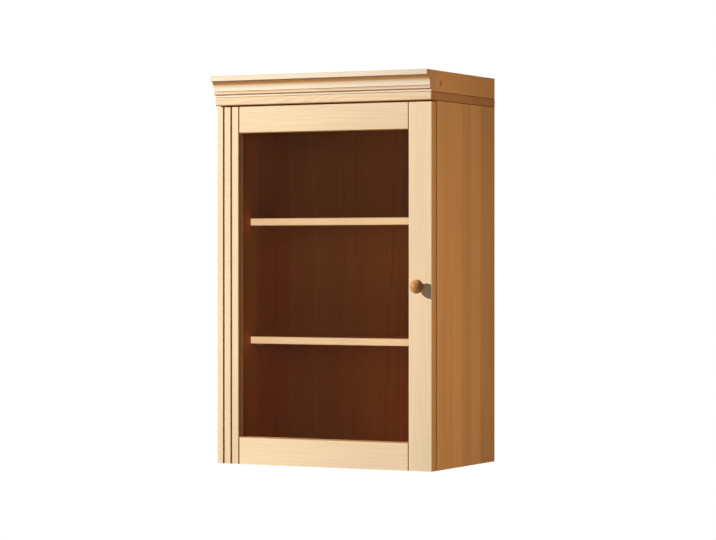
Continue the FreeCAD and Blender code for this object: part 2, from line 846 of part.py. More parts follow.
# Shelves with rounded front edges, each on four steel pins
for shelf, level in SHELVES.items():
    board = body(shelf + "_shelf_board", "shelf_left", "shelf_front", level + " - shelf_thickness")
    drawing = sketch(board, shelf + "_shelf_profile", "YZ_Plane")
    outline(
        drawing,
        [
            ("shelf_edge_round", "0"),
            ("shelf_depth", "0"),
            ("shelf_depth", "shelf_thickness"),
            ("shelf_edge_round", "shelf_thickness"),
            ("0", "shelf_thickness - shelf_edge_round"),
            ("0", "shelf_edge_round"),
        ],
        {3: ("shelf_edge_round", -1), 5: ("shelf_edge_round", -1)},
    )
    extrude(board, drawing, "shelf_width")
    keep(board, shelf + "_shelf")
    pins = []
    for side in SIDE_PLANES:
        begin = "left_inner - pin_hole_depth" if side == "left" else "right_inner - pin_reach"
        for row, y in PIN_ROWS.items():
            start = (begin, y, level + " - pin_drop")
            pin = "%s_pin_%s_%s" % (shelf, side, row)
            pins.append(rod(pin, "x", "pin_radius", start, "pin_hole_depth + pin_reach"))
    keep(group(shelf + "_pin_set", pins), shelf + "_shelf_pins")


# Pivot plates: a nosed foot let into the left side, a strap let into the top panel
def strap_plate(name, level):
    """A strap with a round nose about the pivot, its lower face at a level."""
    item = body(name, "pivot_x", "strap_front", level)
    drawing = sketch(item, name + "_strap", "XY_Plane")
    outline(drawing, rectangle("0", "plate_length", "0", "strap_width"))
    extrude(item, drawing, "plate_thickness")
    drawing = sketch(item, name + "_nose", "XY_Plane")
    circle(drawing, "0", "strap_set", "nose_radius")
    extrude(item, drawing, "plate_thickness")
    return item


foot = body("foot_plate", "pivot_x - foot_half", "pivot_y", "carcass_bottom")
foot_profile = sketch(foot, "foot_profile", "XY_Plane")
outline(
    foot_profile,
    [
        ("foot_half - neck_half", "0"),
        ("foot_half + neck_half", "0"),
        ("foot_half + neck_half", "foot_run"),
        ("foot_width", "foot_run"),
        ("foot_width", "foot_run + foot_length"),
        ("0", "foot_run + foot_length"),
        ("0", "foot_run"),
        ("foot_half - neck_half", "foot_run"),
    ],
)
extrude(foot, foot_profile, "plate_thickness")
foot_nose = sketch(foot, "foot_nose", "XY_Plane")
circle(foot_nose, "foot_half", "0", "nose_radius")
extrude(foot, foot_nose, "plate_thickness")
foot_pin = sketch(foot, "foot_pin", "XY_Plane")
circle(foot_pin, "foot_half", "0", "pivot_pin_radius")
extrude(foot, foot_pin, "lower_door_plate_top - carcass_bottom + pivot_pin_bite")
foot_bores = []
pivot_screws = []
for spot, y in FOOT_SCREWS.items():
    start = ("pivot_x", y, "carcass_bottom")
    foot_bores.append(screw_bore("foot_bore_" + spot, start, UP, "plate_screw_length"))
    pivot_screws.append(wood_screw("foot_screw_" + spot, start, UP, "plate_screw_length"))
keep(carve("foot_plate_cut", foot, foot_bores), "bottom_pivot_plate")

strap = strap_plate("top_strap", "carcass_top")
strap_pin = sketch(strap, "top_strap_pin", "XY_Plane")
circle(strap_pin, "0", "strap_set", "pivot_pin_radius")
extrude(strap, strap_pin, "door_top_gap + plate_thickness + pivot_pin_bite", backwards=True)
strap_bores = []
for spot, x in STRAP_SCREWS.items():
    start = (x, "strap_line", "carcass_top")
    strap_bores.append(screw_bore("top_strap_bore_" + spot, start, UP, "plate_screw_length"))
    pivot_screws.append(wood_screw("top_strap_screw_" + spot, start, UP, "plate_screw_length"))
keep(carve("top_strap_cut", strap, strap_bores), "top_pivot_plate")
keep(group("pivot_screw_set", pivot_screws), "pivot_plate_screws")

washer_level = "carcass_bottom + plate_thickness + washer_play"
washer = body("washer_ring", "pivot_x", "pivot_y", washer_level)
washer_profile = sketch(washer, "washer_profile", "XY_Plane")
circle(washer_profile, "0", "0", "nose_radius")
circle(washer_profile, "0", "0", "pivot_hole")
extrude(washer, washer_profile, "washer_thickness")
keep(washer, "pivot_washer")

# Magnetic catch on the right side, behind the closing stile
catch = body("catch_shell", "right_inner - catch_width", "carcass_front", "catch_middle - catch_height / 2")
catch_profile = sketch(catch, "catch_profile", "XY_Plane")
outline(
    catch_profile,
    [
        ("catch_round", "0"),
        ("catch_width", "0"),
        ("catch_width", "catch_depth"),
        ("catch_round", "catch_depth"),
        ("0", "catch_depth - catch_round"),
        ("0", "catch_round"),
    ],
    {3: ("catch_round", -1), 5: ("catch_round", -1)},
)
extrude(catch, catch_profile, "catch_height")
catch_tools = [
    block(
        "catch_pocket",
        ("catch_centre - magnet_width / 2 - magnet_play", "catch_centre + magnet_width / 2 + magnet_play"),
        ("carcass_front - overrun", "carcass_front + magnet_depth + magnet_play"),
        ("catch_middle - magnet_height / 2 - magnet_play", "catch_middle + magnet_height / 2 + magnet_play"),
    )
]
catch_screws = []
for spot, level in CATCH_LEVELS.items():
    start = ("right_inner - catch_width", "carcass_front + catch_depth / 2", level)
    catch_tools.append(screw_bore("catch_bore_" + spot, start, RIGHTWARD, "catch_screw_length"))
    catch_screws.append(wood_screw("catch_screw_" + spot, start, RIGHTWARD, "catch_screw_length"))
keep(carve("catch_cut", catch, catch_tools), "catch_housing")
keep(group("catch_screw_set", catch_screws), "catch_screws")
magnet = block(
    "catch_magnet_bar",
    ("catch_centre - magnet_width / 2", "catch_centre + magnet_width / 2"),
    ("carcass_front", "carcass_front + magnet_depth"),
    ("catch_middle - magnet_height / 2", "catch_middle + magnet_height / 2"),
)
keep(magnet, "catch_magnet")

# Door stiles: the left one fluted, both rebated behind and mortised for the rails
TENON_DEPTHS = ("tenon_front_wood - joint_play", "tenon_front_wood + tenon_thickness + joint_play")
TENON_LEVELS = {
    "top": ("door_height - top_rail_width + tenon_shoulder", "door_height - tenon_haunch"),
    "bottom": ("tenon_haunch", "bottom_rail_width - tenon_shoulder"),
}


def mortise(item, name, lift, backwards):
    """Pockets for the tenons of both rails in the inner edge of a stile."""
    for end, (low, high) in TENON_LEVELS.items():
        drawing = sketch(item, "%s_mortise_%s" % (name, end), "YZ_Plane", lift)
        levels = ("(%s) - joint_play" % low, "(%s) + joint_play" % high)
        outline(drawing, rectangle(*TENON_DEPTHS, *levels))
        extrude(item, drawing, "tenon_length + joint_play", "PartDesign::Pocket", backwards)


left_stile = body("left_stile_stick", "door_left", "door_front", "door_bottom")
left_section = sketch(left_stile, "left_stile_section", "XY_Plane")
flutes = []
for centre in ("first_flute_inset", "first_flute_inset + flute_pitch"):
    flutes.append((centre + " - flute_width / 2", "0"))
    flutes.append((centre, "flute_depth"))
    flutes.append((centre + " + flute_width / 2", "0"))
left_corners = [
    ("edge_round", "0"),
    *flutes,
    ("stile_width - arris", "0"),
    ("stile_width", "arris"),
    ("stile_width", "lip_thickness"),
    ("stile_width - rebate_width", "lip_thickness"),
    ("stile_width - rebate_width", "door_thickness"),
    ("0", "door_thickness"),
    ("0", "edge_round"),
]
outline(left_section, left_corners, {len(left_corners) - 1: ("edge_round", -1)})
extrude(left_stile, left_section, "door_height")
mortise(left_stile, "left_stile", "stile_width", False)
left_tools = strap_recess("left_stile_top", "upper_door_plate_bottom - plate_play", "door_top + overrun")
left_tools += strap_recess("left_stile_low", "door_bottom - overrun", "lower_door_plate_top + plate_play")
left_tools.append(
    block(
        "left_stile_notch",
        ("door_left - overrun", "pivot_x + neck_half + notch_play"),
        ("pivot_y - nose_radius - notch_play", "door_back + overrun"),
        ("door_bottom - overrun", "seat_level"),
    )
)
pin_room = "pivot_pin_radius + pivot_wood_play"
pin_run = "pivot_pin_bite + pivot_wood_play + overrun"
low_start = ("pivot_x", "pivot_y", "lower_door_plate_top - overrun")
left_tools.append(rod("left_stile_low_pin", "z", pin_room, low_start, pin_run))
high_start = ("pivot_x", "pivot_y", "upper_door_plate_bottom - pivot_pin_bite - pivot_wood_play")
left_tools.append(rod("left_stile_top_pin", "z", pin_room, high_start, pin_run))
PLATE_ENDS = {"top": ("door_top", DOWN), "low": ("seat_level", UP)}
for end, (level, turn) in PLATE_ENDS.items():
    for spot, x in STRAP_SCREWS.items():
        start = (x, "strap_line", level)
        bore = "left_stile_%s_bore_%s" % (end, spot)
        left_tools.append(screw_bore(bore, start, turn, "plate_screw_length"))
keep(carve("left_stile_cut", left_stile, left_tools), "door_stile_left")

right_stile = body("right_stile_stick", "opening_right", "door_front", "door_bottom")
right_section = sketch(right_stile, "right_stile_section", "XY_Plane")
outline(
    right_section,
    [
        ("arris", "0"),
        ("stile_width - edge_round", "0"),
        ("stile_width", "edge_round"),
        ("stile_width", "door_thickness"),
        ("rebate_width", "door_thickness"),
        ("rebate_width", "lip_thickness"),
        ("0", "lip_thickness"),
        ("0", "arris"),
    ],
    {1: ("edge_round", -1)},
)
extrude(right_stile, right_section, "door_height")
mortise(right_stile, "right_stile", "0", True)
strike_start = ("catch_centre", "door_back + strike_thickness", "catch_middle")
right_tools = [
    rod(
        "right_stile_knob_hole",
        "y",
        "knob_screw_radius + knob_screw_play",
        ("knob_x", "door_front - overrun", "door_middle"),
        "door_thickness + 2 * overrun",
    ),
    screw_bore("right_stile_strike_bore", strike_start, FORWARD, "strike_screw_length"),
]
keep(carve("right_stile_cut", right_stile, right_tools), "door_stile_right")


# Door rails: a rebated section, a longer rear shoulder that fills the stiles' rebates, tenons
def door_rail(name, level, section, rear, tenon):
    """One rail of the door from its section, its rear shoulder and its tenon."""
    item = body(name + "_stick", "opening_left", "door_front", level)
    drawing = sketch(item, name + "_section", "YZ_Plane")
    outline(drawing, section)
    board = extrude(item, drawing, "opening_width")
    ends = [{"X": "0", "Y": "0"}, {"X": "opening_width", "Y": "0"}]
    soften(item, board, ends, "arris", "PartDesign::Chamfer")
    drawing = sketch(item, name + "_shoulder", "YZ_Plane", "joint_play - rebate_width")
    outline(drawing, rectangle("lip_thickness", "door_thickness", *rear))
    extrude(item, drawing, "opening_width + 2 * (rebate_width - joint_play)")
    drawing = sketch(item, name + "_tenon", "YZ_Plane", "-tenon_length")
    outline(drawing, rectangle("tenon_front_wood", "tenon_front_wood + tenon_thickness", *tenon))
    extrude(item, drawing, "opening_width + 2 * tenon_length")
    keep(item, name)


door_rail(
    "door_rail_top",
    "opening_top",
    [
        ("arris", "0"),
        ("lip_thickness", "0"),
        ("lip_thickness", "rebate_width"),
        ("door_thickness", "rebate_width"),
        ("door_thickness", "top_rail_width"),
        ("0", "top_rail_width"),
        ("0", "arris"),
    ],
    ("rebate_width", "top_rail_width"),
    ("tenon_shoulder", "top_rail_width - tenon_haunch"),
)
door_rail(
    "door_rail_bottom",
    "door_bottom",
    [
        ("0", "0"),
        ("door_thickness", "0"),
        ("door_thickness", "bottom_rail_width - rebate_width"),
        ("lip_thickness", "bottom_rail_width - rebate_width"),
        ("lip_thickness", "bottom_rail_width"),
        ("arris", "bottom_rail_width"),
        ("0", "bottom_rail_width - arris"),
    ],
    ("0", "bottom_rail_width - rebate_width"),
    ("tenon_haunch", "bottom_rail_width - tenon_shoulder"),
)

# Glass pane in the rebate, and the four beads behind it
pane = block(
    "glass_sheet",
    ("rebate_left + glass_edge_play", "rebate_right - glass_edge_play"),
    ("glass_front", "glass_back"),
    ("rebate_bottom + glass_edge_play", "rebate_top - glass_edge_play"),
)
keep(pane, "glass_pane")


def bead(name, at, role, section, rounded, length):
    """A glazing bead: its section, one edge rounded, drawn out to a length."""
    item = body(name + "_stick", *at)
    drawing = sketch(item, name + "_section", role)
    outline(drawing, section, {rounded: ("bead_round", -1)})
    extrude(item, drawing, length)
    keep(item, name)


bead(
    "glazing_bead_left",
    ("rebate_left + bead_play", "glass_back", "rebate_bottom + bead_play"),
    "XY_Plane",
    [
        ("0", "0"),
        ("bead_width", "0"),
        ("bead_width", "bead_thickness - bead_round"),
        ("bead_width - bead_round", "bead_thickness"),
        ("0", "bead_thickness"),
    ],
    2,
    "rebate_top - rebate_bottom - 2 * bead_play",
)
bead(
    "glazing_bead_right",
    ("opening_right", "glass_back", "rebate_bottom + bead_play"),
    "XY_Plane",
    [
        ("0", "0"),
        ("bead_width", "0"),
        ("bead_width", "bead_thickness"),
        ("bead_round", "bead_thickness"),
        ("0", "bead_thickness - bead_round"),
    ],
    3,
    "rebate_top - rebate_bottom - 2 * bead_play",
)
bead(
    "glazing_bead_top",
    ("opening_left + bead_play", "glass_back", "opening_top"),
    "YZ_Plane",
    [
        ("0", "0"),
        ("bead_thickness - bead_round", "0"),
        ("bead_thickness", "bead_round"),
        ("bead_thickness", "bead_width"),
        ("0", "bead_width"),
    ],
    1,
    "opening_width - 2 * bead_play",
)
bead(
    "glazing_bead_bottom",
    ("opening_left + bead_play", "glass_back", "rebate_bottom + bead_play"),
    "YZ_Plane",
    [
        ("0", "0"),
        ("bead_thickness", "0"),
        ("bead_thickness", "bead_width - bead_round"),
        ("bead_thickness - bead_round", "bead_width"),
        ("0", "bead_width"),
    ],
    2,
    "opening_width - 2 * bead_play",
)

# Turned knob and the machine screw that holds it from behind
knob = body("knob_turning", "knob_x", "door_front", "door_middle", turn=Rotation(Vector(0, 0, 1), HALF_TURN))
knob_profile = sketch(knob, "knob_profile", "XY_Plane")
outline(
    knob_profile,
    [
        ("knob_screw_radius + knob_screw_play", "0"),
        ("knob_base_radius", "0"),
        ("knob_neck_radius", "knob_neck_height"),
        ("knob_radius", "knob_widest_height"),
        ("0", "knob_projection"),
        ("0", "knob_screw_bite + knob_screw_play"),
        ("knob_screw_radius + knob_screw_play", "knob_screw_bite + knob_screw_play"),
    ],
    {1: ("knob_neck_curve", 1), 2: ("knob_flare", -1), 3: ("knob_radius", -1)},
)
revolve(knob, knob_profile)
keep(knob, "door_knob")
shank = rod(
    "knob_screw_shank",
    "y",
    "knob_screw_radius",
    ("knob_x", "door_front - knob_screw_bite", "door_middle"),
    "knob_screw_bite + door_thickness",
)
head = rod(
    "knob_screw_head",
    "y",
    "screw_head_radius",
    ("knob_x", "door_back", "door_middle"),
    "screw_head_height",
)
keep(group("knob_screw_body", [shank, head], "Part::MultiFuse"), "knob_screw")

# Pivot plates of the door
door_screws = []
for end, level in (("top", "upper_door_plate_bottom"), ("bottom", "seat_level")):
    plate = strap_plate("door_%s_strap" % end, level)
    eye = sketch(plate, "door_%s_eye" % end, "XY_Plane")
    circle(eye, "0", "strap_set", "pivot_hole")
    extrude(plate, eye, "plate_thickness", "PartDesign::Pocket", True)
    head_level, turn = PLATE_ENDS["top" if end == "top" else "low"]
    bores = []
    for spot, x in STRAP_SCREWS.items():
        start = (x, "strap_line", head_level)
        bores.append(screw_bore("door_%s_bore_%s" % (end, spot), start, turn, "plate_screw_length"))
        door_screws.append(wood_screw("door_%s_screw_%s" % (end, spot), start, turn, "plate_screw_length"))
    keep(carve("door_%s_strap_cut" % end, plate, bores), "door_%s_plate" % end)
keep(group("door_screw_set", door_screws), "door_plate_screws")

# Strike plate for the catch, its screw, and two felt bumpers
strike = block(
    "strike_blank",
    ("catch_centre - strike_width / 2", "catch_centre + strike_width / 2"),
    ("door_back", "door_back + strike_thickness"),
    ("catch_middle - strike_height / 2", "catch_middle + strike_height / 2"),
)
strike_bore = screw_bore("strike_bore", strike_start, FORWARD, "strike_screw_length")
keep(carve("strike_cut", strike, [strike_bore]), "strike_plate")
keep(wood_screw("strike_screw_turning", strike_start, FORWARD, "strike_screw_length"), "strike_screw")
bumpers = []
for end, level in (("top", "door_top - bumper_inset"), ("bottom", "door_bottom + bumper_inset")):
    start = ("(right_inner + right_outer) / 2", "door_back", level)
    bumpers.append(rod("bumper_" + end, "y", "bumper_radius", start, "bumper_thickness"))
keep(group("bumper_set", bumpers), "door_bumpers")

# Every object is sound before anything is written
doc.recompute()
for item in doc.Objects:
    if "Invalid" in item.State or "Error" in item.State:
        raise RuntimeError("%s did not build" % item.Label)
for name, item in pieces.items():
    if item.Shape.isNull() or not item.Shape.isValid():
        raise RuntimeError("%s has no sound shape" % name)

os.makedirs("parts", exist_ok=True)
for name, item in pieces.items():
    item.Shape.exportStep("parts/%s.step" % name)
print("%d pieces written" % len(pieces))
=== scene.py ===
"""Looks of a pine wall cabinet with a glazed door, dressed round its packed construction."""
import json
import logging
import math
from dataclasses import dataclass, field
from enum import Enum
from typing import Optional, Sequence, Union

import bpy
import numpy as np
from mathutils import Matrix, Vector

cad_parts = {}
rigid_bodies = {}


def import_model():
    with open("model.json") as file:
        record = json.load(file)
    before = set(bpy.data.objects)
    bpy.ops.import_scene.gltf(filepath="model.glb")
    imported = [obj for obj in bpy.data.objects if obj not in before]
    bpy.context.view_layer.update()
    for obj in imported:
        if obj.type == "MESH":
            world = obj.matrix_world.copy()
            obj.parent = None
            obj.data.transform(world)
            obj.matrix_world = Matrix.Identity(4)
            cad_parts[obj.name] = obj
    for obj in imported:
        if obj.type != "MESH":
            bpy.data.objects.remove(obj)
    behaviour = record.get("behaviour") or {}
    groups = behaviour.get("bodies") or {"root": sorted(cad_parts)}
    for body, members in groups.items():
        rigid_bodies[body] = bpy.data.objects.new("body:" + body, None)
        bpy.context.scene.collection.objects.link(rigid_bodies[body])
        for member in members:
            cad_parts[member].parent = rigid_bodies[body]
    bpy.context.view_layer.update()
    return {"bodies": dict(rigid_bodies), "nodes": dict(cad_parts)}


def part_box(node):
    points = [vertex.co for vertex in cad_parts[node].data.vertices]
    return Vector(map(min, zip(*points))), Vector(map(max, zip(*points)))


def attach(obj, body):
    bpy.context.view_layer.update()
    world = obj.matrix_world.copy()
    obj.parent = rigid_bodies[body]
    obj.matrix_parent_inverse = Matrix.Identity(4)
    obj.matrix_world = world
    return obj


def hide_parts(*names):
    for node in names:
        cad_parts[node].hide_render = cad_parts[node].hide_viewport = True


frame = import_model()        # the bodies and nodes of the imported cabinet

LOG = logging.getLogger("wall_cabinet")
MM = 0.001
WATTS_PER_LEVEL = math.pi ** 2
SHARP_ANGLE = math.radians(38)

Point = tuple[float, float, float]
Tone = tuple[float, float, float]
Box = tuple[Vector, Vector]
Socket = bpy.types.NodeSocket
Feed = Union[float, tuple, Socket]


class Body(str, Enum):
    """The two bodies that the door's pivots join."""

    CARCASS = "carcass"
    DOOR = "door"


class Slot(str, Enum):
    """The names of the record's material slots for new pieces."""

    PALE_PINE = "pale_pine"
    STEEL = "steel"
    FELT = "felt"


class Cut(Enum):
    """A board's axes: across its face, through it, and along its grain."""

    STILE = ("X", "Y", "Z")
    RAIL = ("Z", "Y", "X")
    SIDE = ("Y", "X", "Z")
    SHELF = ("Y", "Z", "X")
    DEPTH = ("Z", "X", "Y")
    TURNED = ("X", "Z", "Y")


class Reach(Enum):
    """What a lamp falls on: everything, only what it names, or everything but that."""

    ALL = "all"
    ONLY = "only"
    ALL_BUT = "all but"


RIGHTWARD: Point = (1.0, 0.0, 0.0)
LEFTWARD: Point = (-1.0, 0.0, 0.0)
REARWARD: Point = (0.0, 1.0, 0.0)
FRONTWARD: Point = (0.0, -1.0, 0.0)
UPWARD: Point = (0.0, 0.0, 1.0)
DOWNWARD: Point = (0.0, 0.0, -1.0)
AXES: dict[str, Point] = {"X": RIGHTWARD, "Y": REARWARD, "Z": UPWARD}
WHITE: Tone = (1.0, 1.0, 1.0)
NOISE_SPAN = (0.2, 0.8)  # nearly all of a soft noise lies between these
HUB_SHARE = 0.02  # the innermost row of a round grid, of its radius


def tone(red: int, green: int, blue: int) -> Tone:
    """Turn a colour as a screen shows it into linear light.

    Args:
        red: Red on a screen, 0 to 255.
        green: Green on a screen, 0 to 255.
        blue: Blue on a screen, 0 to 255.

    Returns:
        The same colour in linear light.
    """
    shown = np.array((red, green, blue)) / 255.0
    linear = np.where(shown <= 0.04045, shown / 12.92, ((shown + 0.055) / 1.055) ** 2.4)
    return tuple(float(part) for part in linear)


# Shader nodes
class Nodes:
    """Adds nodes to one node tree and links them."""

    def __init__(self, tree: bpy.types.NodeTree) -> None:
        """Start on a tree and keep the nodes that it has."""
        self.tree = tree

    def feed(self, socket: Socket, value: Feed) -> None:
        """Link a socket to another one, or set its own value.

        Args:
            socket: The input to feed.
            value: An output to link, or a number, vector or tone to set.
        """
        if isinstance(value, bpy.types.NodeSocket):
            self.tree.links.new(value, socket)
        elif socket.type == "RGBA":
            socket.default_value = (*value, 1.0)
        else:
            socket.default_value = value

    def node(self, kind: str, feeds: dict, **settings: object) -> bpy.types.Node:
        """Add a node.

        Args:
            kind: The node's type without its common prefix.
            feeds: Inputs by name or number, and what feeds them.
            settings: The node's own properties.

        Returns:
            The new node.
        """
        made = self.tree.nodes.new("ShaderNode" + kind)
        for key, value in settings.items():
            setattr(made, key, value)
        for key, value in feeds.items():
            self.feed(made.inputs[key], value)
        return made

    def math(self, operation: str, first: Feed, second: Feed = 0.0) -> Socket:
        """Work out one number from two."""
        return self.node("Math", {0: first, 1: second}, operation=operation).outputs[0]

    def dot(self, first: Feed, second: Feed) -> Socket:
        """Multiply two directions into one number."""
        return self.node("VectorMath", {0: first, 1: second}, operation="DOT_PRODUCT").outputs["Value"]

    def distance(self, first: Socket, second: Socket) -> Socket:
        """The length of a way with two parts square to each other."""
        squares = (self.math("MULTIPLY", part, part) for part in (first, second))
        return self.math("SQRT", self.math("ADD", *squares))

    def stretch(self, vector: Feed, scales: Point) -> Socket:
        """Multiply a vector's parts by three scales."""
        return self.node("VectorMath", {0: vector, 1: scales}, operation="MULTIPLY").outputs["Vector"]

    def shade(self, colour: Feed, value: Feed) -> Socket:
        """Multiply a colour by a number."""
        return self.node("VectorMath", {0: colour, "Scale": value}, operation="SCALE").outputs["Vector"]

    def span(self, value: Feed, low: float, high: float, start: float = 0.0, end: float = 1.0) -> Socket:
        """Ease a number from one range to another, held at the ends.

        Args:
            value: The number to move.
            low: Where the first range begins.
            high: Where the first range ends.
            start: The result at the beginning.
            end: The result at the end.

        Returns:
            The eased number.
        """
        feeds = {"Value": value, "From Min": low, "From Max": high, "To Min": start, "To Max": end}
        return self.node("MapRange", feeds, interpolation_type="SMOOTHSTEP").outputs[0]

    def mix(self, share: Feed, first: Feed, second: Feed, blend: str = "MIX") -> Socket:
        """Blend two colours by a share of the second."""
        feeds = {0: share, 6: first, 7: second}
        return self.node("Mix", feeds, data_type="RGBA", blend_type=blend).outputs[2]

    def noise(self, vector: Feed, scale: float = 1.0, detail: float = 2.0) -> Socket:
        """Soft noise from 0 to 1 over a vector."""
        feeds = {"Vector": vector, "Scale": scale, "Detail": detail}
        return self.node("TexNoise", feeds).outputs[0]

    def luck(self, number: Feed) -> tuple[Socket, Socket, Socket]:
        """Three steady chance values from 0 to 1 for a number."""
        drawn = self.node("TexWhiteNoise", {"W": number}, noise_dimensions="1D").outputs["Color"]
        parts = self.node("SeparateXYZ", {0: drawn}).outputs
        return parts[0], parts[1], parts[2]

    def split(self, vector: Feed) -> dict[str, Socket]:
        """The parts of a vector by the names of the axes."""
        parts = self.node("SeparateXYZ", {0: vector}).outputs
        return {"X": parts[0], "Y": parts[1], "Z": parts[2]}

    def emboss(self, height: Feed, depth: float) -> Socket:
        """Turn a height from 0 to 1 into a bumped normal of that depth in metres."""
        return self.node("Bump", {"Height": height, "Distance": depth, "Strength": 1.0}).outputs[0]

    def seen(self) -> Socket:
        """1 or more for rays from the eye, from gloss or through glass, and 0 for all others."""
        path = self.node("LightPath", {}).outputs
        rays = self.math("ADD", path["Is Camera Ray"], path["Is Glossy Ray"])
        return self.math("ADD", rays, path["Is Transmission Ray"])


class Shader(Nodes):
    """The node tree of one procedural material that ends in a Principled surface."""

    def __init__(self, name: str, box: Box) -> None:
        """Start a material whose pattern is centred on a piece.

        Args:
            name: The material's name.
            box: The piece's lowest and highest corners, in metres.
        """
        self.material = bpy.data.materials.new(name)
        self.material.use_nodes = True
        super().__init__(self.material.node_tree)
        self.tree.nodes.clear()
        self.surface = self.tree.nodes.new("ShaderNodeBsdfPrincipled")
        output = self.tree.nodes.new("ShaderNodeOutputMaterial")
        self.tree.links.new(self.surface.outputs[0], output.inputs["Surface"])
        source = self.tree.nodes.new("ShaderNodeTexCoord")
        self.normal = source.outputs["Normal"]
        shift = tuple(-(box[0] + box[1]) / 2)
        self.spot = self.node("Mapping", {"Vector": source.outputs["Object"], "Location": shift}).outputs[0]

    def close(self, sockets: dict[str, Feed]) -> bpy.types.Material:
        """Feed the surface's sockets by name and return the material."""
        for key, value in sockets.items():
            self.feed(self.surface.inputs[key], value)
        return self.material


# Finishes
class Finish:
    """A look for a piece; each kind says what feeds the surface."""

    def sockets(self, shader: Shader) -> dict[str, Feed]:
        """What feeds the surface, by the names of its sockets."""
        raise NotImplementedError

    def material(self, name: str, box: Box) -> bpy.types.Material:
        """Make the material of a piece that fills a box."""
        shader = Shader(name, box)
        return shader.close(self.sockets(shader))


@dataclass(frozen=True)
class Knot:
    """A branch's round mark on a board, in metres from the board's middle."""

    across: float
    along: float
    radius: float


@dataclass(frozen=True)
class StainAndShade:
    """A board's tones: its own colour to the front, a painted shade on its flanks, and a darker painted shade
    towards the inside.
    """

    front: Tone
    flank: Tone
    inner: Tone


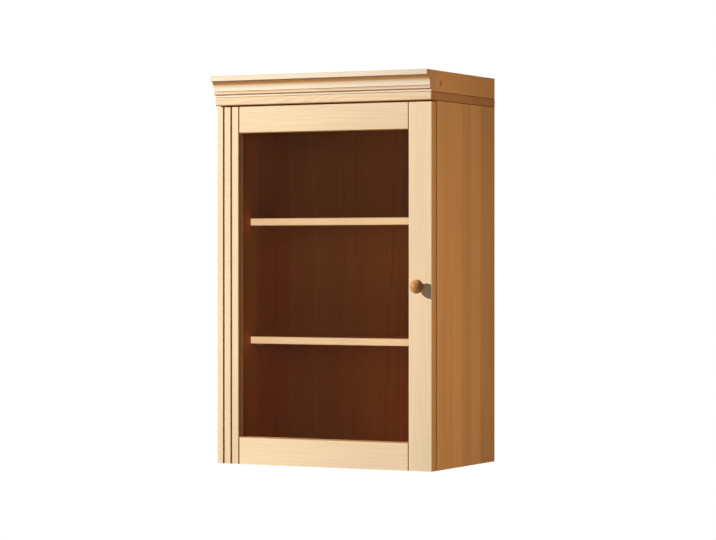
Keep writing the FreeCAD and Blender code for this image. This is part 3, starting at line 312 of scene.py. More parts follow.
@dataclass(frozen=True)
class Pine(Finish):
    """Lacquered pine sawn from a log, as a solid pattern that runs through the board.

    The growth rings are circles about a heart line behind each stave, so a sawn face shows
    long arches, an edge shows straight lines and an end shows arcs.
    """

    stain_and_shade: StainAndShade
    cut: Cut
    seed: int
    # direction of the cabinet's inside, where faces take the inner painted shade
    inside: Point = (0.0, 0.0, 0.0)
    stave: float = 4.0
    ring: float = 0.0042
    contrast: float = 0.22
    roughness: float = 0.55
    gloss: float = 0.06
    # span of the turn to the front over which the flank's painted shade gives way to the front tone
    facing: tuple[float, float] = (0.25, 0.6)
    two_faced: bool = False
    end_share: float = 1.0
    stave_share: float = 0.05
    # share of painted shade on edges that slant between side and top
    crease_shade_share: float = 0.0
    knot: Optional[Knot] = None

    LATE_TINT = (0.72, 0.55, 0.36)
    END_TINT = (0.80, 0.70, 0.58)
    # painted shade along edges that slant between side and top
    CREASE_SHADE_TINT = (0.30, 0.22, 0.16)
    KNOT_TONE = tone(140, 76, 30)
    KNOT_RIM = tone(96, 48, 20)
    FIBRE_SCALES = (620.0, 620.0, 11.0)
    CLOUD_SCALES = (16.0, 16.0, 3.0)
    SWAY_SCALES = (2.0, 2.0, 3.2)
    WOBBLE_SCALES = (40.0, 40.0, 2.4)
    FIBRE_DEPTH = 0.12 * MM
    FIBRE_SHARE = 0.6
    FIBRE_DETAIL = 3.0
    FIBRE_LIGHT = (0.95, 1.04)
    CLOUD_SPAN = (0.25, 0.75)
    CLOUD_LIGHT = (0.96, 1.04)
    SMOOTHER = 0.06
    ROUGHER = 0.08
    END_SPAN = (0.6, 0.95)
    # span over which faces turning inside take the inner painted shade
    INWARD_SPAN = (0.4, 0.9)
    CREASE_SHADE_SPAN = (0.25, 0.42)
    LATE_RISE = (0.25, 0.85)
    LATE_FALL = (0.9, 1.0)
    HEART_SPREAD = 0.07
    HEART_DEPTHS = (0.02, 0.08)
    TAPER = 0.05
    SWAY = 0.010
    WOBBLE = 0.0022
    KNOT_BEND = 0.016
    KNOT_FADE = math.exp(-0.22)
    KNOT_SQUEEZE = 0.75
    KNOT_RINGS = 3.5
    KNOT_CORE = (2.2, 0.2, 0.0, 0.55)
    KNOT_FINE = (1.2, 0.4, 0.0, 0.35)
    KNOT_RIM_RISE = (0.72, 0.95)
    KNOT_RIM_FALL = (1.3, 0.95, 0.0, 0.25)
    LOT_STEP = 7.31

    def sockets(self, shader: Shader) -> dict[str, Feed]:
        """The tones and their painted shade, under rings, fibres, staves, a knot and sawn ends.

        Args:
            shader: The material's nodes.

        Returns:
            What feeds the surface, by the names of its sockets.
        """
        parts = shader.split(shader.spot)
        across, through, along = (parts[axis] for axis in self.cut.value)
        lined = shader.node("CombineXYZ", {0: across, 1: through, 2: along}).outputs[0]
        lot = shader.math("ROUND", shader.math("DIVIDE", across, self.stave))
        chance = shader.luck(shader.math("ADD", lot, self.seed * self.LOT_STEP))
        away = self.knot_distance(shader, across, along) if self.knot else None
        late = self.rings(shader, lined, lot, chance, away)
        fibre = shader.noise(shader.stretch(lined, self.FIBRE_SCALES), detail=self.FIBRE_DETAIL)
        cloud = shader.noise(shader.stretch(lined, self.CLOUD_SCALES))
        dark = shader.math("MULTIPLY", late, self.contrast)
        colour = shader.mix(dark, self.tones(shader), self.LATE_TINT, "MULTIPLY")
        fine = shader.span(fibre, *NOISE_SPAN, *self.FIBRE_LIGHT)
        broad = shader.span(cloud, *self.CLOUD_SPAN, *self.CLOUD_LIGHT)
        board = shader.span(chance[0], 0.0, 1.0, 1 - self.stave_share, 1 + self.stave_share)
        light = shader.math("MULTIPLY", shader.math("MULTIPLY", fine, broad), board)
        colour = shader.shade(colour, light)
        if away:
            colour = self.knot_tones(shader, colour, away)
        end = shader.math("ABSOLUTE", shader.dot(shader.normal, AXES[self.cut.value[2]]))
        sawn = shader.span(end, *self.END_SPAN, 0.0, self.end_share)
        rough = (self.roughness - self.SMOOTHER, self.roughness + self.ROUGHER)
        height = shader.math(
            "ADD",
            shader.math("MULTIPLY", fibre, self.FIBRE_SHARE),
            shader.math("MULTIPLY", late, 1 - self.FIBRE_SHARE),
        )
        return {
            "Base Color": shader.mix(sawn, colour, self.END_TINT, "MULTIPLY"),
            "Roughness": shader.span(fibre, *NOISE_SPAN, *rough),
            "Specular IOR Level": self.gloss,
            "Normal": shader.emboss(height, self.FIBRE_DEPTH),
        }

    def tones(self, shader: Shader) -> Socket:
        """Choose the tone by the way a face looks, in the piece's own frame.

        Faces turned away from the front take the flank tone, a painted shade; faces towards the inside take
        the inner tone, a darker painted shade; faces that slant between side and top get a painted shade line
        along the edge.

        Args:
            shader: The material's nodes.

        Returns:
            The tone with its painted shade.
        """
        ahead = shader.dot(shader.normal, FRONTWARD)
        if self.two_faced:
            ahead = shader.math("ABSOLUTE", ahead)
        # faces turned from the front take the flank tone: painted shade
        colour = shader.mix(shader.span(ahead, *self.facing), self.stain_and_shade.flank, self.stain_and_shade.front)
        # faces towards the inside take the inner tone: darker painted shade
        if any(self.inside):
            inward_shade = shader.span(shader.dot(shader.normal, self.inside), *self.INWARD_SPAN)
            colour = shader.mix(inward_shade, colour, self.stain_and_shade.inner)
        # a painted shade line on edges that slant between side and top
        if self.crease_shade_share:
            parts = shader.split(shader.normal)
            slant = shader.math("ABSOLUTE", shader.math("MULTIPLY", parts["X"], parts["Z"]))
            crease_shade = shader.span(slant, *self.CREASE_SHADE_SPAN, 0.0, self.crease_shade_share)
            colour = shader.mix(crease_shade, colour, self.CREASE_SHADE_TINT, "MULTIPLY")
        return colour

    def knot_distance(self, shader: Shader, across: Socket, along: Socket) -> Socket:
        """How far a place lies from the knot, in its radii, with the way along squeezed.

        Args:
            shader: The material's nodes.
            across: The place across the board.
            along: The place along the grain.

        Returns:
            The distance.
        """
        aside = shader.math("SUBTRACT", across, self.knot.across)
        ahead = shader.math("SUBTRACT", along, self.knot.along)
        ahead = shader.math("MULTIPLY", ahead, self.KNOT_SQUEEZE)
        return shader.math("DIVIDE", shader.distance(aside, ahead), self.knot.radius)

    def knot_tones(self, shader: Shader, colour: Socket, away: Socket) -> Socket:
        """Darken the wood within the knot, with fine rings and a dark rim of its own.

        Args:
            shader: The material's nodes.
            colour: The wood without the knot.
            away: The distance from the knot, in its radii.

        Returns:
            The wood with the knot.
        """
        core = shader.span(away, *self.KNOT_CORE)
        part = shader.math("FRACT", shader.math("MULTIPLY", away, self.KNOT_RINGS))
        inner = shader.math("MULTIPLY", shader.span(away, *self.KNOT_FINE), part)
        fall = shader.span(away, *self.KNOT_RIM_FALL)
        edge = shader.math("MULTIPLY", shader.span(away, *self.KNOT_RIM_RISE), fall)
        colour = shader.mix(core, colour, self.KNOT_TONE)
        return shader.mix(shader.math("MAXIMUM", inner, edge), colour, self.KNOT_RIM)

    def rings(
        self, shader: Shader, lined: Socket, lot: Socket, chance: Sequence[Socket], away: Optional[Socket]
    ) -> Socket:
        """Draw the dark late wood of the growth rings.

        The distance from a heart line, which leans along the grain and sways a little, is
        counted in ring widths; each ring darkens slowly and ends sharply. A knot pushes the
        rings outwards by a bell curve of the distance from its middle.

        Args:
            shader: The material's nodes.
            lined: The place across, through and along the board.
            lot: The number of the stave.
            chance: Three chance values of that stave.
            away: The distance from the knot, in its radii, if there is one.

        Returns:
            Late wood from 0 to 1.
        """
        parts = shader.split(lined)
        local = shader.math("SUBTRACT", parts["X"], shader.math("MULTIPLY", lot, self.stave))
        heart = shader.span(chance[0], 0.0, 1.0, -self.HEART_SPREAD / 2, self.HEART_SPREAD / 2)
        slope = shader.span(chance[1], 0.0, 1.0, -self.TAPER, self.TAPER)
        lean = shader.math("MULTIPLY", parts["Z"], slope)
        sway = shader.noise(shader.stretch(lined, self.SWAY_SCALES))
        sway = shader.span(sway, *NOISE_SPAN, -self.SWAY, self.SWAY)
        east = shader.math("ADD", shader.math("SUBTRACT", local, heart), shader.math("ADD", lean, sway))
        depth = shader.span(chance[2], 0.0, 1.0, *self.HEART_DEPTHS)
        north = shader.math("ADD", parts["Y"], depth)
        wobble = shader.noise(shader.stretch(lined, self.WOBBLE_SCALES))
        wobble = shader.math("MULTIPLY", wobble, self.WOBBLE)
        radius = shader.math("ADD", shader.distance(east, north), wobble)
        if away:
            bell = shader.math("POWER", self.KNOT_FADE, shader.math("POWER", away, 2.0))
            radius = shader.math("ADD", radius, shader.math("MULTIPLY", bell, self.KNOT_BEND))
        part = shader.math("FRACT", shader.math("DIVIDE", radius, self.ring))
        return shader.math("SUBTRACT", shader.span(part, *self.LATE_RISE), shader.span(part, *self.LATE_FALL))


@dataclass(frozen=True)
class Speckled(Finish):
    """Two tones under a fine noise that also roughens and embosses the surface."""

    base: Tone
    speck: Tone
    scales: Point
    detail: float = 3.0
    edge: tuple[float, float] = (0.45, 0.7)
    rough: tuple[float, float] = (0.44, 0.6)
    gloss: float = 0.4
    sheen: float = 0.0
    depth: float = 0.03 * MM

    def sockets(self, shader: Shader) -> dict[str, Feed]:
        """Specks where the noise is high."""
        fine = shader.noise(shader.stretch(shader.spot, self.scales), detail=self.detail)
        return {
            "Base Color": shader.mix(shader.span(fine, *self.edge), self.base, self.speck),
            "Roughness": shader.span(fine, *NOISE_SPAN, *self.rough),
            "Specular IOR Level": self.gloss,
            "Sheen Weight": self.sheen,
            "Normal": shader.emboss(fine, self.depth),
        }


@dataclass(frozen=True)
class PlatedSteel(Finish):
    """Zinc-plated steel, a little cloudy, with fine drawn lines."""

    base: Tone = (0.60, 0.585, 0.555)
    cloud: Tone = (0.50, 0.485, 0.455)
    rough: tuple[float, float] = (0.26, 0.42)

    CLOUD_SCALE = 420.0
    CLOUD_DETAIL = 3.0
    CLOUD_SPAN = (0.35, 0.65)
    ROUGH_SPAN = (0.25, 0.75)
    DRAWN_SCALES = (900.0, 5200.0, 5200.0)
    DRAWN_DEPTH = 0.01 * MM

    def sockets(self, shader: Shader) -> dict[str, Feed]:
        """Clouds in the plating and drawn lines below it."""
        cloudy = shader.noise(shader.spot, self.CLOUD_SCALE, self.CLOUD_DETAIL)
        drawn = shader.noise(shader.stretch(shader.spot, self.DRAWN_SCALES))
        return {
            "Base Color": shader.mix(shader.span(cloudy, *self.CLOUD_SPAN), self.base, self.cloud),
            "Metallic": 1.0,
            "Roughness": shader.span(cloudy, *self.ROUGH_SPAN, *self.rough),
            "Normal": shader.emboss(drawn, self.DRAWN_DEPTH),
        }


@dataclass(frozen=True)
class ClearGlass(Finish):
    """A clear float pane: nearly all light passes, with faint wiping marks in its gloss."""

    base: Tone = (0.02, 0.03, 0.025)
    cover: float = 0.04
    index: float = 1.5
    rough: tuple[float, float] = (0.02, 0.07)

    WIPE_SCALES = (9.0, 9.0, 4.0)
    WIPE_DETAIL = 4.0
    WIPE_SPAN = (0.3, 0.7)

    def sockets(self, shader: Shader) -> dict[str, Feed]:
        """Wiping marks in the gloss of a pane that covers little."""
        wiped = shader.noise(shader.stretch(shader.spot, self.WIPE_SCALES), detail=self.WIPE_DETAIL)
        return {
            "Base Color": self.base,
            "Roughness": shader.span(wiped, *self.WIPE_SPAN, *self.rough),
            "IOR": self.index,
            "Alpha": self.cover,
        }


@dataclass(frozen=True)
class FloorPaint(Finish):
    """Pale matt paint on a round floor that turns plain white at its edge, clear from below.

    The glow shows only to the eye, in gloss and through glass, and lights nothing.
    """

    radius: float
    glow: float
    base: Tone = (0.40, 0.40, 0.395)
    gloss: float = 0.1
    rough: tuple[float, float] = (0.75, 0.85)

    FADE_SHARES = (0.45, 0.98)
    GRIT_SCALE = 60.0

    def sockets(self, shader: Shader) -> dict[str, Feed]:
        """Paint that fades to white with the distance from the middle."""
        length = shader.node("VectorMath", {0: shader.spot}, operation="LENGTH").outputs["Value"]
        near, far = (share * self.radius for share in self.FADE_SHARES)
        fade = shader.span(length, near, far, self.glow, 1.0)
        fine = shader.noise(shader.spot, self.GRIT_SCALE)
        below = shader.node("NewGeometry", {}).outputs["Backfacing"]
        return {
            "Base Color": self.base,
            "Roughness": shader.span(fine, *NOISE_SPAN, *self.rough),
            "Specular IOR Level": self.gloss,
            "Emission Color": WHITE,
            "Emission Strength": shader.math("MULTIPLY", fade, shader.seen()),
            "Alpha": shader.math("SUBTRACT", 1.0, below),
        }


# The cabinet's tones, painted shade among them
PALE = tone(243, 214, 174)
# painted shade: the pale pine as it looks on side faces in shade
HONEY_SHADE = tone(206, 138, 72)
EDGE = tone(196, 134, 74)
# painted shade: a darker copy of the pine for faces inside the cabinet
INSIDE_SHADE = tone(191, 123, 60)
RAW = tone(206, 168, 118)

# the flank tone is painted shade in the flutes, the V-joints and on the frame's edges
DOOR_STAIN_AND_SHADE = StainAndShade(front=PALE, flank=tone(186, 134, 80), inner=PALE)
# the flank tone is painted shade on the right stile's outer edge
CLOSING_STAIN_AND_SHADE = StainAndShade(front=PALE, flank=HONEY_SHADE, inner=PALE)
# the flank tone is painted shade where the cove and bead turn from the front
CORNICE_STAIN_AND_SHADE = StainAndShade(front=tone(236, 217, 188), flank=tone(204, 144, 84), inner=PALE)
# the flank tone is painted shade on the outer side faces, the inner tone darker painted shade inside
SIDE_STAIN_AND_SHADE = StainAndShade(front=EDGE, flank=HONEY_SHADE, inner=INSIDE_SHADE)
# the flank tone is painted shade on ends, top and underside, the inner tone darker painted shade inside
TOP_STAIN_AND_SHADE = StainAndShade(front=PALE, flank=HONEY_SHADE, inner=INSIDE_SHADE)
# painted shade on the shelves' tops, undersides and ends; the front edge keeps its own colour
SHELF_STAIN_AND_SHADE = StainAndShade(front=tone(246, 208, 158), flank=INSIDE_SHADE, inner=INSIDE_SHADE)
# painted shade on the back's face towards the inside
BACK_STAIN_AND_SHADE = StainAndShade(front=INSIDE_SHADE, flank=RAW, inner=INSIDE_SHADE)
RAIL_STAIN = StainAndShade(front=RAW, flank=RAW, inner=RAW)
# the flank tone is painted shade on the knob's turned sides
KNOB_STAIN_AND_SHADE = StainAndShade(front=tone(224, 166, 102), flank=tone(200, 134, 70), inner=PALE)

STEEL = PlatedSteel()
BEECH = Speckled(
    tone(214, 176, 132), tone(168, 118, 76), (260.0, 1100.0, 1100.0),
    edge=(0.52, 0.72), rough=(0.55, 0.7), gloss=0.25, depth=0.08 * MM,
)
WHITE_PLASTIC = Speckled(tone(238, 236, 230), tone(226, 223, 214), (2400.0, 2400.0, 2400.0))
FERRITE = Speckled(tone(58, 57, 58), tone(78, 77, 76), (1500.0, 1500.0, 1500.0), rough=(0.64, 0.8))
FELT = Speckled(
    tone(150, 124, 96), tone(112, 88, 62), (2600.0, 2600.0, 2600.0), detail=4.0,
    edge=(0.4, 0.65), rough=(0.85, 1.0), gloss=0.5, sheen=0.3, depth=0.25 * MM,
)


# Surfaces
@dataclass(frozen=True)
class Seat:
    """Where a turned shape stands: the foot of its axis and the way that the axis runs."""

    foot: Point
    axis: Point

    def basis(self) -> tuple[np.ndarray, np.ndarray, np.ndarray]:
        """Two directions square to the axis, and the axis, as a right-handed set."""
        along = np.array(self.axis, float)
        aside = np.roll(along, 1)
        return aside, np.cross(along, aside), along


@dataclass(frozen=True)
class Skin:
    """A closed surface: its points, its four-sided faces and its three-sided faces."""

    points: np.ndarray
    quads: np.ndarray
    fans: np.ndarray

    def outward(self) -> "Skin":
        """Turn all faces round if the volume that they enclose comes out negative."""
        triangles = np.vstack((self.fans, self.quads[:, (0, 1, 2)], self.quads[:, (0, 2, 3)]))
        first, second, third = (self.points[triangles[:, corner]] for corner in range(3))
        if np.einsum("ij,ij->", first, np.cross(second, third)) >= 0:
            return self
        return Skin(self.points, self.quads[:, ::-1], self.fans[:, ::-1])


def joined(skins: Sequence[Skin]) -> Skin:
    """Put several closed surfaces into one.

    Args:
        skins: The surfaces.

    Returns:
        One surface with all their points and faces.
    """
    counts = [len(skin.points) for skin in skins]
    starts = np.cumsum([0, *counts[:-1]])
    quads = np.vstack([skin.quads + start for skin, start in zip(skins, starts)])
    fans = np.vstack([skin.fans + start for skin, start in zip(skins, starts)])
    return Skin(np.vstack([skin.points for skin in skins]), quads, fans)


def ring_quads(rows: int, columns: int, closed_rows: bool = False) -> np.ndarray:
    """Faces of a grid whose columns run round and whose rows may run round too.

    Args:
        rows: How many rows the grid has.
        columns: How many columns the grid has.
        closed_rows: Whether the last row meets the first.

    Returns:
        Four point numbers for each face.
    """
    number = np.arange(rows * columns).reshape(rows, columns)
    right = np.roll(number, -1, axis=1)
    up = np.roll(number, -1, axis=0)
    corner = np.roll(right, -1, axis=0)
    faces = np.stack((number, right, corner, up), axis=-1)
    return (faces if closed_rows else faces[:-1]).reshape(-1, 4)


def turned(reach: np.ndarray, rise: np.ndarray, seat: Seat) -> Skin:
    """A surface turned about an axis.

    The point of row i and column j lies reach[i, j] from the axis at the column's angle, and
    rise[i, j] along the axis from the foot. Each end closes on one point of the axis.

    Args:
        reach: Distances from the axis, rows by columns.
        rise: Distances along the axis, rows by columns.
        seat: Where the axis stands.

    Returns:
        The closed surface.
    """
    rows, columns = reach.shape
    angle = np.linspace(0.0, 2 * math.pi, columns, endpoint=False)
    aside, upward, along = seat.basis()
    points = (reach * np.cos(angle))[..., None] * aside + (reach * np.sin(angle))[..., None] * upward
    points = points + rise[..., None] * along + np.array(seat.foot)
    ends = np.array(seat.foot) + np.array([[rise[0].mean()], [rise[-1].mean()]]) * along
    first, last = rows * columns, rows * columns + 1
    column = np.arange(columns)
    following = np.roll(column, -1)
    top = (rows - 1) * columns
    low_fan = np.stack((np.full(columns, first), following, column), axis=-1)
    high_fan = np.stack((np.full(columns, last), top + column, top + following), axis=-1)
    points = np.vstack((points.reshape(-1, 3), ends))
    return Skin(points, ring_quads(rows, columns), np.vstack((low_fan, high_fan))).outward()


def plain_turned(profile: np.ndarray, columns: int, seat: Seat) -> Skin:
    """Turn a profile of (reach, rise) points about an axis with no change round it."""
    spread = np.ones((1, columns))
    return turned(profile[:, :1] * spread, profile[:, 1:] * spread, seat)


def arc(start: Sequence[float], end: Sequence[float], radius: float, side: int, steps: int) -> np.ndarray:
    """Points of an arc between two ends.

    The centre stands on the chord's own bisector, so far off that both ends lie at the radius;
    the points are at equal angles about it.

    Args:
        start: The first end, as reach and rise.
        end: The last end.
        radius: The arc's radius.
        side: +1 if the arc swells to the left of the way it runs, -1 if to the right.
        steps: How many points, both ends among them.

    Returns:
        The points, one to a row.
    """
    first, last = np.array(start, float), np.array(end, float)
    chord = last - first
    half = np.hypot(*chord) / 2
    normal = np.array((-chord[1], chord[0])) / (2 * half)
    centre = (first + last) / 2 - normal * side * math.sqrt(max(radius ** 2 - half ** 2, 0.0))
    sweep = 2 * math.asin(min(half / radius, 1.0))
    turn = -side * np.linspace(0.0, sweep, steps)
    east, north = first - centre
    spots = (east * np.cos(turn) - north * np.sin(turn), east * np.sin(turn) + north * np.cos(turn))
    return centre + np.stack(spots, axis=-1)


def ease(low: float, high: float, value: np.ndarray) -> np.ndarray:
    """Smooth step from 0 at low to 1 at high: three squares less two cubes of the share between."""
    share = np.clip((value - low) / (high - low), 0.0, 1.0)
    return share * share * (3 - 2 * share)


# Pieces
def box_of(points: np.ndarray) -> Box:
    """Lowest and highest corners of a set of points."""
    return Vector(points.min(axis=0)), Vector(points.max(axis=0))


def dress_node(node: str, finish: Finish) -> None:
    """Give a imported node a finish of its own.

    Args:
        node: The node's name.
        finish: Its finish.
    """
    slots = frame["nodes"][node].data.materials
    slots.clear()
    slots.append(finish.material(node + "_finish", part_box(node)))
    LOG.info("dressed %s", node)


def dress_all(finishes: dict[str, Finish]) -> None:
    """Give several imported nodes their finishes, by the nodes' names."""
    for node, finish in finishes.items():
        dress_node(node, finish)


def add_piece(name: str, skin: Skin, finish: Finish, body: Body, slot: Slot, *nodes: str) -> None:
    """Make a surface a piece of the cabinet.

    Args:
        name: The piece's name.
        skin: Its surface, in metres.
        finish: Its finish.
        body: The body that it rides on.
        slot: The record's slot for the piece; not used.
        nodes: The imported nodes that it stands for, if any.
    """
    mesh = bpy.data.meshes.new(name)
    mesh.from_pydata(skin.points.tolist(), [], skin.quads.tolist() + skin.fans.tolist())
    mesh.shade_smooth()
    mesh.set_sharp_from_angle(angle=SHARP_ANGLE)
    mesh.materials.append(finish.material(name + "_finish", box_of(skin.points)))
    piece = bpy.data.objects.new(name, mesh)
    bpy.context.scene.collection.objects.link(piece)
    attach(piece, body.value)
    if nodes:
        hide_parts(*nodes)
    LOG.info("built %s with %d points", name, len(skin.points))


@dataclass(frozen=True)
class Screw:
    """A cross-headed screw, countersunk or pan-headed, with its sizes in metres."""

    length: float
    head_radius: float = 3 * MM
    shank_radius: float = 1.6 * MM
    pitch: float = 1.35 * MM
    pan_height: float = 0.0
    columns: int = 48

    CORE_SHARE = 0.72
    CROSS_SHARE = 0.62
    CROSS_DEPTH_SHARE = 0.45
    ARM_SHARE = 0.24
    ARM_FLOOR_SHARE = 0.55
    CROSS_FLOOR_SHARE = 0.8
    FACE_SHARES = (0.03, 0.97)
    FACE_ROWS = 26
    TURN_ROWS = 9
    FEWEST_ROWS = 12
    TIP_ROWS = 7
    TIP_SHARE = 0.94
    BOWL_SHARE = 0.35
    PAN_SHARES = (0.33, 0.6)
    PAN_ROUND_SHARE = 0.4
    PAN_ROWS = 6
    LIP_SHARES = (0.02, 0.1)

    def skin(self, seat: Seat) -> Skin:
        """The screw's surface with its head at the seat's foot.

        From the middle of the head the rows run out over the cross recess, round the rim, down
        to the shank and along the thread to the point. The recess sinks where a point lies on
        either arm of the cross. The thread's radius is a rounded wave of the height in pitches
        less the angle in turns.

        Args:
            seat: The head's middle and the way that the screw points.

        Returns:
            The closed surface.
        """
        angle = np.linspace(0.0, 2 * math.pi, self.columns, endpoint=False)
        out = np.linspace(*self.FACE_SHARES, self.FACE_ROWS)[:, None] * self.head_radius * np.ones_like(angle)
        arm, cross = self.ARM_SHARE * self.head_radius, self.CROSS_SHARE * self.head_radius
        aside = np.minimum(np.abs(out * np.sin(angle)), np.abs(out * np.cos(angle)))
        sunk = ease(arm, self.ARM_FLOOR_SHARE * arm, aside)
        sunk = sunk * ease(cross, self.CROSS_FLOOR_SHARE * cross, out)
        bowl = self.BOWL_SHARE * self.pan_height * (out / self.head_radius) ** 3
        rows = [(out, sunk * self.CROSS_DEPTH_SHARE * self.head_radius + bowl)]
        rim = self.rim()
        rows.append((rim[:, :1] + 0 * angle, rim[:, 1:] + 0 * angle))
        start, stop = rim[-1, 1], self.length - self.shank_radius
        steps = max(int((stop - start) / self.pitch * self.TURN_ROWS), self.FEWEST_ROWS)
        rise = np.linspace(start, stop, steps)[1:, None] + 0 * angle
        wave = 0.5 + 0.5 * np.cos(2 * math.pi * (rise / self.pitch) - angle)
        bite = (1 - self.CORE_SHARE) * ease(start, start + 2 * self.pitch, rise) * (1 - wave)
        rows.append((self.shank_radius * (1 - bite), rise))
        tip = np.linspace(0.0, self.TIP_SHARE, self.TIP_ROWS)[1:, None] + 0 * angle
        rows.append((self.CORE_SHARE * self.shank_radius * (1 - tip), stop + self.shank_radius * tip))
        return turned(*(np.vstack(parts) for parts in zip(*rows)), seat)

    def rim(self) -> np.ndarray:
        """Points of (reach, rise) from the head's edge down to the shank.

        Returns:
            A cone under a countersunk head, or a rounded wall and a flat seat under a pan head.
        """
        head, shank, pan = self.head_radius, self.shank_radius, self.pan_height
        if pan:
            start, end = (share * pan for share in self.PAN_SHARES)
            face = self.FACE_SHARES[1] * head
            edge = arc((face, start), (head, end), self.PAN_ROUND_SHARE * pan, -1, self.PAN_ROWS)
            return np.vstack((edge, [(head, pan), (shank, pan)]))
        fall = head - shank
        lip = [(head, share * fall) for share in self.LIP_SHARES]
        return np.array([*lip, (shank, fall)])


# Sub-assemblies
class SubAssembly:
    """Pieces that are built and dressed together."""

    def build(self) -> None:
        """Add no new piece."""

    def dress(self) -> None:
        """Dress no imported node."""


@dataclass
class Carcass(SubAssembly):
    """The boards of the box, the rails behind it and the dowels that hold them."""

    stave: float = 94 * MM
    side_stave: float = 48 * MM
    side_share: float = 0.09
    # painted shade on the slanted edges of the side panels and the top panel
    side_crease_shade: float = 0.6
    top_crease_shade: float = 0.9

    def dress(self) -> None:
        """Give each board its cut of pine, with painted shade on its flanks, along slanted edges and towards
        the inside.
        """
        side = {"stave": self.side_stave, "stave_share": self.side_share, "crease_shade_share": self.side_crease_shade}
        wide = {"stave": self.stave}
        boards = {
            "left_side_panel": Pine(SIDE_STAIN_AND_SHADE, Cut.SIDE, 3, RIGHTWARD, **side),
            "right_side_panel": Pine(SIDE_STAIN_AND_SHADE, Cut.SIDE, 137, LEFTWARD, **side),
            "top_panel": Pine(TOP_STAIN_AND_SHADE, Cut.SHELF, 5, DOWNWARD, crease_shade_share=self.top_crease_shade, **wide),
            "bottom_panel": Pine(TOP_STAIN_AND_SHADE, Cut.SHELF, 11, UPWARD, **wide),
            "back_panel": Pine(BACK_STAIN_AND_SHADE, Cut.STILE, 14, FRONTWARD, contrast=0.3, **wide),
            "hanging_rail": Pine(RAIL_STAIN, Cut.RAIL, 17),
            "lower_rail": Pine(RAIL_STAIN, Cut.RAIL, 20),
            "carcass_dowels": BEECH,
        }
        dress_all(boards)


@dataclass
class Cornice(SubAssembly):
    """The moulding along the front, the boards behind it and their blocks and dowels."""

    # painted shade on the slanted edges of the cornice's side boards
    crease_shade: float = 0.6
    knot: Knot = Knot(across=-4 * MM, along=-125 * MM, radius=4 * MM)

    def dress(self) -> None:
        """Give the moulding pale pine with painted shade where its profile turns from the front, and the side
        boards the painted shade of the sides.
        """
        # a narrow facing span puts painted shade on the cove and bead where they turn from the front
        moulded = {"contrast": 0.10, "facing": (0.72, 1.0), "end_share": 0.2}
        boards = {
            "cornice_moulding": Pine(CORNICE_STAIN_AND_SHADE, Cut.RAIL, 23, **moulded),
            "cornice_side_left": Pine(SIDE_STAIN_AND_SHADE, Cut.DEPTH, 26, crease_shade_share=self.crease_shade),
            "cornice_side_right": Pine(SIDE_STAIN_AND_SHADE, Cut.DEPTH, 29, crease_shade_share=self.crease_shade, knot=self.knot),
            "cornice_corner_blocks": Pine(RAIL_STAIN, Cut.STILE, 32),
            "cornice_dowels": BEECH,
        }
        dress_all(boards)


@dataclass
class ShelfSet(SubAssembly):
    """Two loose shelves and the eight steel pins that carry them."""

    pin_radius: float = 2.5 * MM
    pin_length: float = 18 * MM
    end_round: float = 1.2 * MM
    waist_depth: float = 0.35 * MM
    waist_width: float = 1.6 * MM
    waist_share: float = 0.56
    stave: float = 94 * MM
    columns: int = 40
    rows: int = 60
    round_rows: int = 7
    shelves: dict[str, int] = field(default_factory=lambda: {"upper_shelf": 35, "lower_shelf": 38})

    def pin_profile(self) -> np.ndarray:
        """Points of (reach, rise): a rounded end, a waist past the middle, a rounded end.

        The waist is a bell of the fourth power of the way from its middle, in half widths.

        Returns:
            The profile from end to end.
        """
        radius, length, edge = self.pin_radius, self.pin_length, self.end_round
        low = arc((radius - edge, 0.0), (radius, edge), edge, -1, self.round_rows)
        rise = np.linspace(edge, length - edge, self.rows)[1:-1]
        bell = np.exp(-((rise - self.waist_share * length) / (0.5 * self.waist_width)) ** 4)
        middle = np.stack((radius - self.waist_depth * bell, rise), axis=-1)
        high = arc((radius, length - edge), (radius - edge, length), edge, -1, self.round_rows)
        return np.vstack((low, middle, high))

    def build(self) -> None:
        """Turn the pins of each shelf, pointing inwards from both sides."""
        profile = self.pin_profile()
        for shelf in self.shelves:
            pins = shelf + "_pins"
            low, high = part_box(pins)
            level = (low.z + high.z) / 2
            seats = []
            for row in (low.y + self.pin_radius, high.y - self.pin_radius):
                seats.append(Seat((low.x, row, level), RIGHTWARD))
                seats.append(Seat((high.x, row, level), LEFTWARD))
            skins = [plain_turned(profile, self.columns, seat) for seat in seats]
            add_piece(pins + "_turned", joined(skins), STEEL, Body.CARCASS, Slot.STEEL, pins)

    def dress(self) -> None:
        """Give the shelves painted shade on their tops, undersides and ends, and leave their front edges
        pale.
        """
        for shelf, seed in self.shelves.items():
            dress_node(shelf, Pine(SHELF_STAIN_AND_SHADE, Cut.SHELF, seed, stave=self.stave, contrast=0.14))


